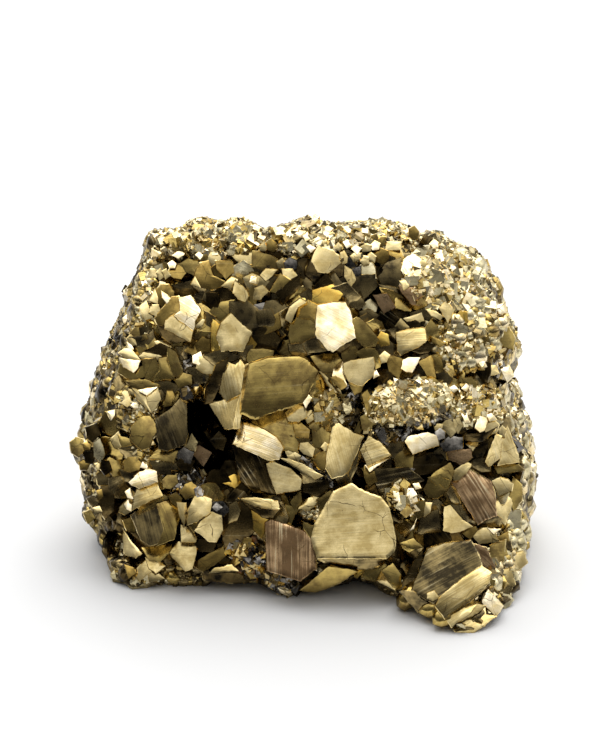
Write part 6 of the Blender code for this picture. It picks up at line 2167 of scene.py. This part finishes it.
@dataclass
class Gaps:
    """The small crystals of the front: those deep in the gaps between the blocks, and the patches.

    Attributes:
        count: crystals in the gaps.
        reach: how far out they lie, as a share of the way to the outline.
        width: smallest and largest width of a crystal in a gap.
        depth: nearest and furthest depth of their tops under the mass's front.
        hollow_share: how much deeper they lie in a hollow, as a share of the hollow's depth.
        painted_shade_from: crystals deeper than this are painted dark, as shade.
        shape: least and greatest half of such a crystal's width, as a share of its size.
        patch_shape: the same for a crystal of a patch.
        patch_sizes: its least size and the range above it, as shares of the patch's width.
        patch_sink: how deep one lies at the patch's edge, and at most by chance, in millimetres.
        patch_hollow: how much deeper it lies in a hollow, as a share of the hollow's depth.
        fused_uneven: how uneven a nodule of a fused patch is.
        seed: seed of the random draws.
    """

    count: int = 460
    reach: float = 0.93
    width: tuple[float, float] = (1.0 * MM, 2.2 * MM)
    depth: tuple[float, float] = (1.6 * MM, 4.6 * MM)
    hollow_share: float = 0.8
    painted_shade_from: float = 2.6 * MM
    shape: tuple[float, float] = (0.35, 0.62)
    patch_shape: tuple[float, float] = (0.42, 0.8)
    patch_sizes: tuple[float, float] = (0.45, 1.3)
    patch_sink: tuple[float, float] = (0.9, 0.3)
    patch_hollow: float = 0.5
    fused_uneven: float = 0.09
    seed: int = 7

    def rubble(self, chance: np.random.Generator) -> Swarm:
        """Crystals in the gaps: spread evenly over the outline, the deeper ones painted darker, as shade.

        Args:
            chance: source of the random draws.

        Returns:
            The crystals.
        """
        outline = resampled(np.array(OUTLINE, float), 400)
        heart = np.array(SHEET.heart)
        rim = outline[chance.integers(0, len(outline), self.count)]
        spot = heart + (rim - heart) * (self.reach * np.sqrt(chance.random(self.count)))[:, None]
        sunk = chance.uniform(*self.depth, self.count)
        relief = SHEET.front_relief(spot[:, 0], spot[:, 1]) - sunk
        relief -= self.hollow_share * hollow_depth(spot[:, 0], spot[:, 1])
        width = chance.uniform(*self.width, self.count)
        halves = width[:, None] * chance.uniform(*self.shape, (self.count, 3))
        # The deeper crystals take the darkest mix: painted shade.
        deep = SHEET.front_relief(spot[:, 0], spot[:, 1]) - relief > self.painted_shade_from
        finishes = np.where(deep, Mix.SHADOWED.draw(chance, self.count), Mix.DULL.draw(chance, self.count))
        centres = SHEET.place(spot[:, 0], spot[:, 1], relief - width * 0.5)
        return Swarm(centres, halves, turned(chance, self.count), finishes)

    def patch(self, patch: Patch, chance: np.random.Generator) -> Swarm:
        """One patch: crystals spread evenly over an ellipse, sunk more towards its edge.

        A crystal's width grows with the square of a random value, so most are small.

        Args:
            patch: the patch.
            chance: source of the random draws.

        Returns:
            The crystals.
        """
        away = np.sqrt(chance.random(patch.count))
        angle = chance.uniform(0.0, math.tau, patch.count)
        turn = math.radians(patch.turn)
        along, over = away * np.cos(angle) * patch.wide, away * np.sin(angle) * patch.high
        x = patch.x + along * math.cos(turn) - over * math.sin(turn)
        y = patch.y + along * math.sin(turn) + over * math.cos(turn)
        least, more = self.patch_sizes
        width = patch.width * (least + more * chance.random(patch.count) ** 2) * MM
        edge, uneven = self.patch_sink
        sink = (edge * away ** 3 + chance.uniform(0.0, uneven, patch.count)) * MM
        relief = SHEET.front_relief(x, y) + patch.lift * MM - sink - hollow_depth(x, y) * self.patch_hollow
        halves = width[:, None] * chance.uniform(*self.patch_shape, (patch.count, 3))
        centres = SHEET.place(x, y, relief - width * 0.4)
        turns, finishes = turned(chance, patch.count), patch.mix.draw(chance, patch.count)
        if patch.fused:
            return Swarm(centres, halves, turns, finishes, 1.0, (CUBE, NODULE), self.fused_uneven)
        return Swarm(centres, halves, turns, finishes)

    def pieces(self, materials: dict[Finish, bpy.types.Material]) -> list[bpy.types.Object]:
        """Make the crystals of the gaps and of the patches.

        Args:
            materials: the material of every finish.

        Returns:
            The pieces.
        """
        chance = np.random.default_rng(self.seed)
        gaps, crumbs = Batch("gap_crystals"), Batch("patch_crystals")
        fused = Batch("patch_nodules", sharp_from=math.radians(80.0))
        self.rubble(chance).add_to(gaps, chance)
        for patch in PATCHES:
            self.patch(patch, chance).add_to(fused if patch.fused else crumbs, chance)
        flat = [batch.piece(materials, smooth=False) for batch in (gaps, crumbs)]
        return flat + [fused.piece(materials)]


@dataclass
class Druse:
    """The crust of small cubes on the rim, the sides and the back of the mass.

    Attributes:
        fine: how many fine crystals.
        coarse: how many coarse ones.
        fine_width: smallest and largest width of a fine crystal.
        coarse_width: the same for a coarse one.
        fine_sink: how far a fine crystal lies in the mass, as a share of its width.
        coarse_sink: the same for a coarse one.
        coarse_from: how many rings the coarse ones start behind the fine ones.
        thin: how thickly the fine and coarse ones cover the steep sides, over the level top.
        cover: how fast the cover grows as the mass turns up, and how far up it must turn first.
        cut_share: share of them with cut corners.
        small_power: power of the random value that sets their width: over 1, most are small.
        shape: least and greatest half of a crystal's width, as a share of its size.
        steep_from: a side is steep where its outward way rises by less than this.
        steep_shape: how much wider along the mass and flatter a crystal is on a steep side.
        foot_room: height of a middle over the standing plane at least, as a share of the size.
        tilt: how far a crystal is tilted on a steep side, and how much more on the level top.
        painted_light_right: how much a look to the right adds to the painted light of a look up.
        painted_light_base: painted light of a crystal that looks to the side.
        hidden_painted_light: share of the painted light that is left on the back.
        shown_slope: how fast it comes back towards the front.
        glitter: share of the crystals with painted light that glitter.
        brassy: share of the others that are brassy, and how much more where their painted light is strong.
        nodules: how many rounded nodules.
        nodule_width: smallest and largest width of a nodule.
        nodule_sink: how far one lies in the mass, as a share of its width.
        nodule_thick: how thickly the nodules cover the steep sides, over the level top.
        nodule_shape: least and greatest half of a nodule's width, as a share of its size.
        nodule_flat: how much less it is square to the mass.
        bright: share of the nodules that are painted bright, as lit, and its growth to the right and up.
        bright_limits: least and greatest of that share.
        dark: the same for those painted dark, as shade, to the right; it falls.
        dark_limit: greatest share of them.
        uneven: how uneven a nodule is.
        margin: how far a nodule's middle keeps off the drawn blocks, in steps.
        furrow_share: share of the nodules in the furrow that are painted dark, as shade.
        furrow_away: the furrow is painted dark where the outward way runs along the eye's by less than this.
        foot: druse starts this high over the standing plane.
        seed: seed of the random draws.
    """

    fine: int = 7400
    coarse: int = 36
    fine_width: tuple[float, float] = (0.6 * MM, 1.25 * MM)
    coarse_width: tuple[float, float] = (1.5 * MM, 3.0 * MM)
    fine_sink: float = 0.42
    coarse_sink: float = 0.32
    coarse_from: int = 50
    thin: float = 0.03
    cover: tuple[float, float] = (1.4, 0.3)
    cut_share: float = 0.8
    small_power: float = 1.6
    shape: tuple[float, float] = (0.46, 0.66)
    steep_from: float = 0.45
    steep_shape: tuple[float, float, float] = (0.3, 0.3, -0.5)
    foot_room: float = 1.1
    tilt: tuple[float, float] = (0.3, 1.2)
    painted_light_right: float = 0.35
    painted_light_base: float = 0.2
    hidden_painted_light: float = 0.3
    shown_slope: float = 2.2
    glitter: float = 0.6
    brassy: tuple[float, float] = (0.3, 0.55)
    nodules: int = 2600
    nodule_width: tuple[float, float] = (0.9 * MM, 3.2 * MM)
    nodule_sink: float = 0.3
    nodule_thick: float = 2.4
    nodule_shape: tuple[float, float] = (0.34, 0.78)
    nodule_flat: float = 0.7
    bright: tuple[float, float] = (0.35, 0.5)
    bright_limits: tuple[float, float] = (0.1, 0.9)
    dark: tuple[float, float] = (-0.05, -0.6)
    dark_limit: float = 0.5
    uneven: float = 0.08
    margin: float = 4.0
    furrow_share: float = 0.85
    furrow_away: float = 0.15
    foot: float = 0.2 * MM
    seed: int = 12

    def spots(self, rings: np.ndarray, first: int, count: int, chance: np.random.Generator,
              thin: float) -> tuple[np.ndarray, np.ndarray]:
        """Points spread evenly over the mass, by the area of the patches between its rings.

        Args:
            rings: the mass's surface.
            first: the first ring that carries druse.
            count: how many points.
            chance: source of the random draws.
            thin: how thickly the steep sides are covered, over the level top.

        Returns:
            The points and the outward directions there, both of shape (count, 3).
        """
        a, c = rings[first:-1], rings[first + 1:]
        b, d = np.roll(a, -1, axis=1), np.roll(c, -1, axis=1)
        normal = np.cross(d - a, c - b).reshape(-1, 3)
        area = np.linalg.norm(normal, axis=1)
        middle = a.reshape(-1, 3) - rings.reshape(-1, 3).mean(0)
        up = normal[:, 2] / np.maximum(area, 1e-15) * np.sign((middle * normal).sum(-1))
        area[a.reshape(-1, 3)[:, 2] < self.foot] = 0.0
        area *= thin + (1.0 - thin) * np.clip(self.cover[0] * up - self.cover[1], 0.0, 1.0)
        picked = chance.choice(len(area), count, p=area / area.sum())
        s, t = chance.random((2, count, 1))
        near = a.reshape(-1, 3)[picked] * (1 - s) + b.reshape(-1, 3)[picked] * s
        far = c.reshape(-1, 3)[picked] * (1 - s) + d.reshape(-1, 3)[picked] * s
        spot = near * (1 - t) + far * t
        out = unit(normal[picked])
        centre = rings.reshape(-1, 3).mean(0)
        out *= np.sign(((spot - centre) * out).sum(-1, keepdims=True))
        return spot, out

    def swarm(self, rings: np.ndarray, first: int, count: int, width: tuple[float, float], sink: float,
              chance: np.random.Generator) -> Swarm:
        """Crystals sunk by a share of their width into the mass, none below the standing plane.

        On the steep sides they are flatter and lie closer to the mass. Those that look up, to the right
        and to the front take the brighter mixes more often: painted light, where the light falls.

        Args:
            rings: the mass's surface.
            first: the first ring that carries them.
            count: how many.
            width: their smallest and largest width.
            sink: how far one lies in the mass, as a share of its width.
            chance: source of the random draws.

        Returns:
            The crystals that keep clear of the drawn blocks.
        """
        spot, out = self.spots(rings, first, count, chance, self.thin)
        size = width[0] + (width[1] - width[0]) * chance.random(count) ** self.small_power
        steep = np.clip(self.steep_from - out[:, 2], 0.0, 1.0)[:, None]
        halves = size[:, None] * chance.uniform(*self.shape, (count, 3)) * (1.0 + steep * self.steep_shape)
        centres = spot - out * (size * sink)[:, None]
        centres[:, 2] = np.maximum(centres[:, 2], size * self.foot_room)
        # Painted light: crystals that look up, to the right and to the front take the glittering and brassy
        # mixes more often, those that look away the dull mix, as shade.
        shown = np.clip(-(out @ SHEET.ahead) * self.shown_slope, 0.0, 1.0)
        glow = np.clip(out[:, 2] + self.painted_light_right * out[:, 0] + self.painted_light_base, 0.0, 1.0)
        glow = glow * (self.hidden_painted_light + (1.0 - self.hidden_painted_light) * shown)
        lucky = chance.random(count)
        least, more = self.brassy
        finishes = np.where(lucky < glow * self.glitter, Mix.GLITTER.draw(chance, count),
                            np.where(lucky < least + glow * more, Mix.BRASSY.draw(chance, count),
                                     Mix.DULL.draw(chance, count)))
        turns = settled(out, self.tilt[0] + self.tilt[1] * (1.0 - steep) ** 2, chance)
        free = clear_of_blocks(spot, out, 0.0)
        return Swarm(centres[free], halves[free], turns[free], finishes[free], self.cut_share)

    def lumps(self, rings: np.ndarray, first: int, chance: np.random.Generator) -> Swarm:
        """Rounded nodules, flattened against the mass and part sunk in it, thickest on the steep sides.

        Those that look up and to the right are painted bright, as lit, and those to the left and in the
        furrow are painted dark, as shade.

        Args:
            rings: the mass's surface.
            first: the first ring that carries them.
            chance: source of the random draws.

        Returns:
            The nodules that keep clear of the drawn blocks.
        """
        spot, out = self.spots(rings, first, self.nodules, chance, self.nodule_thick)
        low, high = self.nodule_width
        size = low + (high - low) * chance.random(self.nodules) ** 2.0
        halves = size[:, None] * chance.uniform(*self.nodule_shape, (self.nodules, 3))
        halves *= (1.0, 1.0, self.nodule_flat)
        centres = spot - out * (size * self.nodule_sink)[:, None]
        centres[:, 2] = np.maximum(centres[:, 2], size * self.nodule_flat)
        # Painted light and shade: nodules that look up and to the right take the bright mix, those to the
        # left and in the furrow a dark one.
        base, slope = self.bright
        brightness = np.clip(base + slope * out[:, 0] + slope * out[:, 2], *self.bright_limits)
        bright = chance.random(self.nodules) < brightness
        base, slope = self.dark
        deep = chance.random(self.nodules) < np.clip(base + slope * out[:, 0], 0.0, self.dark_limit)
        furrow = FURROW.covers(SHEET.seen_at(spot), 1.0) & (out @ SHEET.ahead < self.furrow_away)
        deep |= furrow & (chance.random(self.nodules) < self.furrow_share)
        bright &= ~furrow
        dull = np.where(deep, FURROW.mix.draw(chance, self.nodules), Mix.DULL.draw(chance, self.nodules))
        finishes = np.where(bright, Mix.FUSED.draw(chance, self.nodules), dull)
        turns = settled(out, np.full((self.nodules, 1), self.tilt[0]), chance)
        free = clear_of_blocks(spot, out, self.margin)
        return Swarm(centres[free], halves[free], turns[free], finishes[free], 1.0, (CUBE, NODULE),
                     self.uneven)

    def pieces(self, rings: np.ndarray, first: int,
               materials: dict[Finish, bpy.types.Material]) -> list[bpy.types.Object]:
        """Make the fine druse in two pieces, each over the whole mass, the coarse cubes and the nodules.

        Args:
            rings: the mass's surface.
            first: the first ring that carries druse.
            materials: the material of every finish.

        Returns:
            The pieces.
        """
        chance = np.random.default_rng(self.seed)
        fine = (first, self.fine // 2, self.fine_width, self.fine_sink)
        coarse = (first + self.coarse_from, self.coarse, self.coarse_width, self.coarse_sink)
        made = []
        for name, plan in (("druse_left", fine), ("druse_right", fine), ("coarse_cubes", coarse)):
            batch = Batch(name)
            self.swarm(rings, *plan, chance).add_to(batch, chance)
            made.append(batch.piece(materials, smooth=False))
        nodules = Batch("crust_nodules", sharp_from=math.radians(80.0))
        self.lumps(rings, first, chance).add_to(nodules, chance)
        made.append(nodules.piece(materials))
        return made


# ---------------------------------------------------------------- the studio


@dataclass
class Studio:
    """A plain pale floor, soft light from above and behind, and the camera at the sheet's eye.

    Attributes:
        floor_half: half the floor's width.
        floor_gap: how far the floor lies under the specimen, so that the two don't touch.
        floor_colour: sRGB hex colour of the floor.
        light_way: the way towards the brightest part of the surroundings.
        glow: brightness of the surroundings, by how far a way turns towards the light, from -1 to 1.
        brightest: the greatest of these.
        room_width: width of the lighter and darker parts of the room, as a share of its distance.
        room_change: how much they change the brightness.
        room_span: the pair of noise values between which they do.
        lens: the camera's focal length, in millimetres.
        sensor: the length of its sensor, in millimetres.
    """

    floor_half: float = 4.0
    floor_gap: float = 0.02 * MM
    floor_colour: str = "#E3E3E3"
    light_way: tuple[float, float, float] = (0.12, 0.50, 0.86)
    glow: tuple[tuple[float, float], ...] = (
        (-1.0, 0.22), (-0.2, 0.09), (0.1, 0.15), (0.3, 0.38), (0.55, 0.9), (0.75, 1.9), (1.0, 3.0))
    brightest: float = 3.0
    room_width: float = 0.45
    room_change: float = 0.5
    room_span: tuple[float, float] = (0.35, 0.65)
    lens: float = 100.0
    sensor: float = 36.0

    def floor(self) -> bpy.types.Object:
        """A flat square under the specimen."""
        half, level = self.floor_half, -self.floor_gap
        corners = [(-half, -half, level), (half, -half, level), (half, half, level), (-half, half, level)]
        mesh = bpy.data.meshes.new("floor")
        mesh.from_pydata(corners, [], [(0, 1, 2, 3)])
        paper = bpy.data.materials.new("white_card")
        paper.use_nodes = True
        shader = paper.node_tree.nodes["Principled BSDF"]
        shader.inputs["Base Color"].default_value = linear(self.floor_colour)
        shader.inputs["Roughness"].default_value = 0.9
        mesh.materials.append(paper)
        floor = bpy.data.objects.new("floor", mesh)
        bpy.context.scene.collection.objects.link(floor)
        return floor

    def surroundings(self) -> None:
        """Soft studio light: bright above and behind, dim in front; the camera sees them plain pale."""
        world = bpy.data.worlds.new("soft_studio")
        bpy.context.scene.world = world
        world.use_nodes = True
        tree = world.node_tree
        way = add_node(tree, "ShaderNodeTexCoord").outputs["Generated"]
        toward = unit(np.array(self.light_way))
        turn = add_node(tree, "ShaderNodeVectorMath", {"operation": "DOT_PRODUCT"},
                        {0: way, 1: tuple(toward)}).outputs["Value"]
        share = ranged(tree, turn, (-1.0, 1.0))
        ramp = add_node(tree, "ShaderNodeValToRGB", inputs={"Fac": share})
        stops = ramp.color_ramp.elements
        for stop in list(stops)[1:]:
            stops.remove(stop)
        for number, (at, bright) in enumerate(self.glow):
            stop = stops[0] if number == 0 else stops.new((at + 1.0) / 2.0)
            stop.position = (at + 1.0) / 2.0
            level = bright / self.brightest
            stop.color = (level, level, level, 1.0)
        room = add_node(tree, "ShaderNodeTexNoise", inputs={
            "Vector": way, "Scale": 1.0 / self.room_width, "Detail": 2.0}).outputs[0]
        patchy = ranged(tree, room, self.room_span, (self.brightest * (1.0 - self.room_change),
                                                     self.brightest * (1.0 + self.room_change)))
        lit = add_node(tree, "ShaderNodeBackground", inputs={
            "Color": ramp.outputs[0], "Strength": patchy})
        pale = add_node(tree, "ShaderNodeBackground", inputs={
            "Color": (1.0, 1.0, 1.0, 1.0), "Strength": 1.0})
        seen = add_node(tree, "ShaderNodeLightPath").outputs["Is Camera Ray"]
        both = add_node(tree, "ShaderNodeMixShader", inputs={
            0: seen, 1: lit.outputs[0], 2: pale.outputs[0]})
        output = next(node for node in tree.nodes if node.type == "OUTPUT_WORLD")
        tree.links.new(both.outputs[0], output.inputs["Surface"])

    def camera(self) -> bpy.types.Object:
        """The camera: at the eye, looking ahead, with the sheet filling its frame."""
        data = bpy.data.cameras.new("camera")
        data.lens = self.lens
        data.sensor_width = self.sensor
        data.clip_start = 0.01
        data.clip_end = 50.0
        camera = bpy.data.objects.new("camera", data)
        camera.location = SHEET.eye
        camera.rotation_euler = (math.radians(90.0) - SHEET.fall, 0.0, 0.0)
        bpy.context.scene.collection.objects.link(camera)
        bpy.context.scene.camera = camera
        return camera

    def build(self) -> None:
        """Put up the floor, the light and the camera."""
        self.floor()
        self.surroundings()
        self.camera()
        bpy.context.scene.view_settings.view_transform = "Standard"
        log.info("studio: floor, surroundings and camera")


def main() -> None:
    """Build every sub-assembly in order."""
    logging.basicConfig(level=logging.INFO, format="%(name)s: %(message)s")
    materials = Dresser().palette()
    Studio().build()
    mass = Mass()
    crust, rings = mass.piece(materials)
    made = [crust] + Crystals().pieces(materials) + Gaps().pieces(materials)
    made += Druse().pieces(rings, int(mass.front_rows * mass.druse_from), materials)
    for thing in made:
        log.info("%s: %d faces", thing.name, len(thing.data.polygons))


if __name__ == "__main__":
    main()
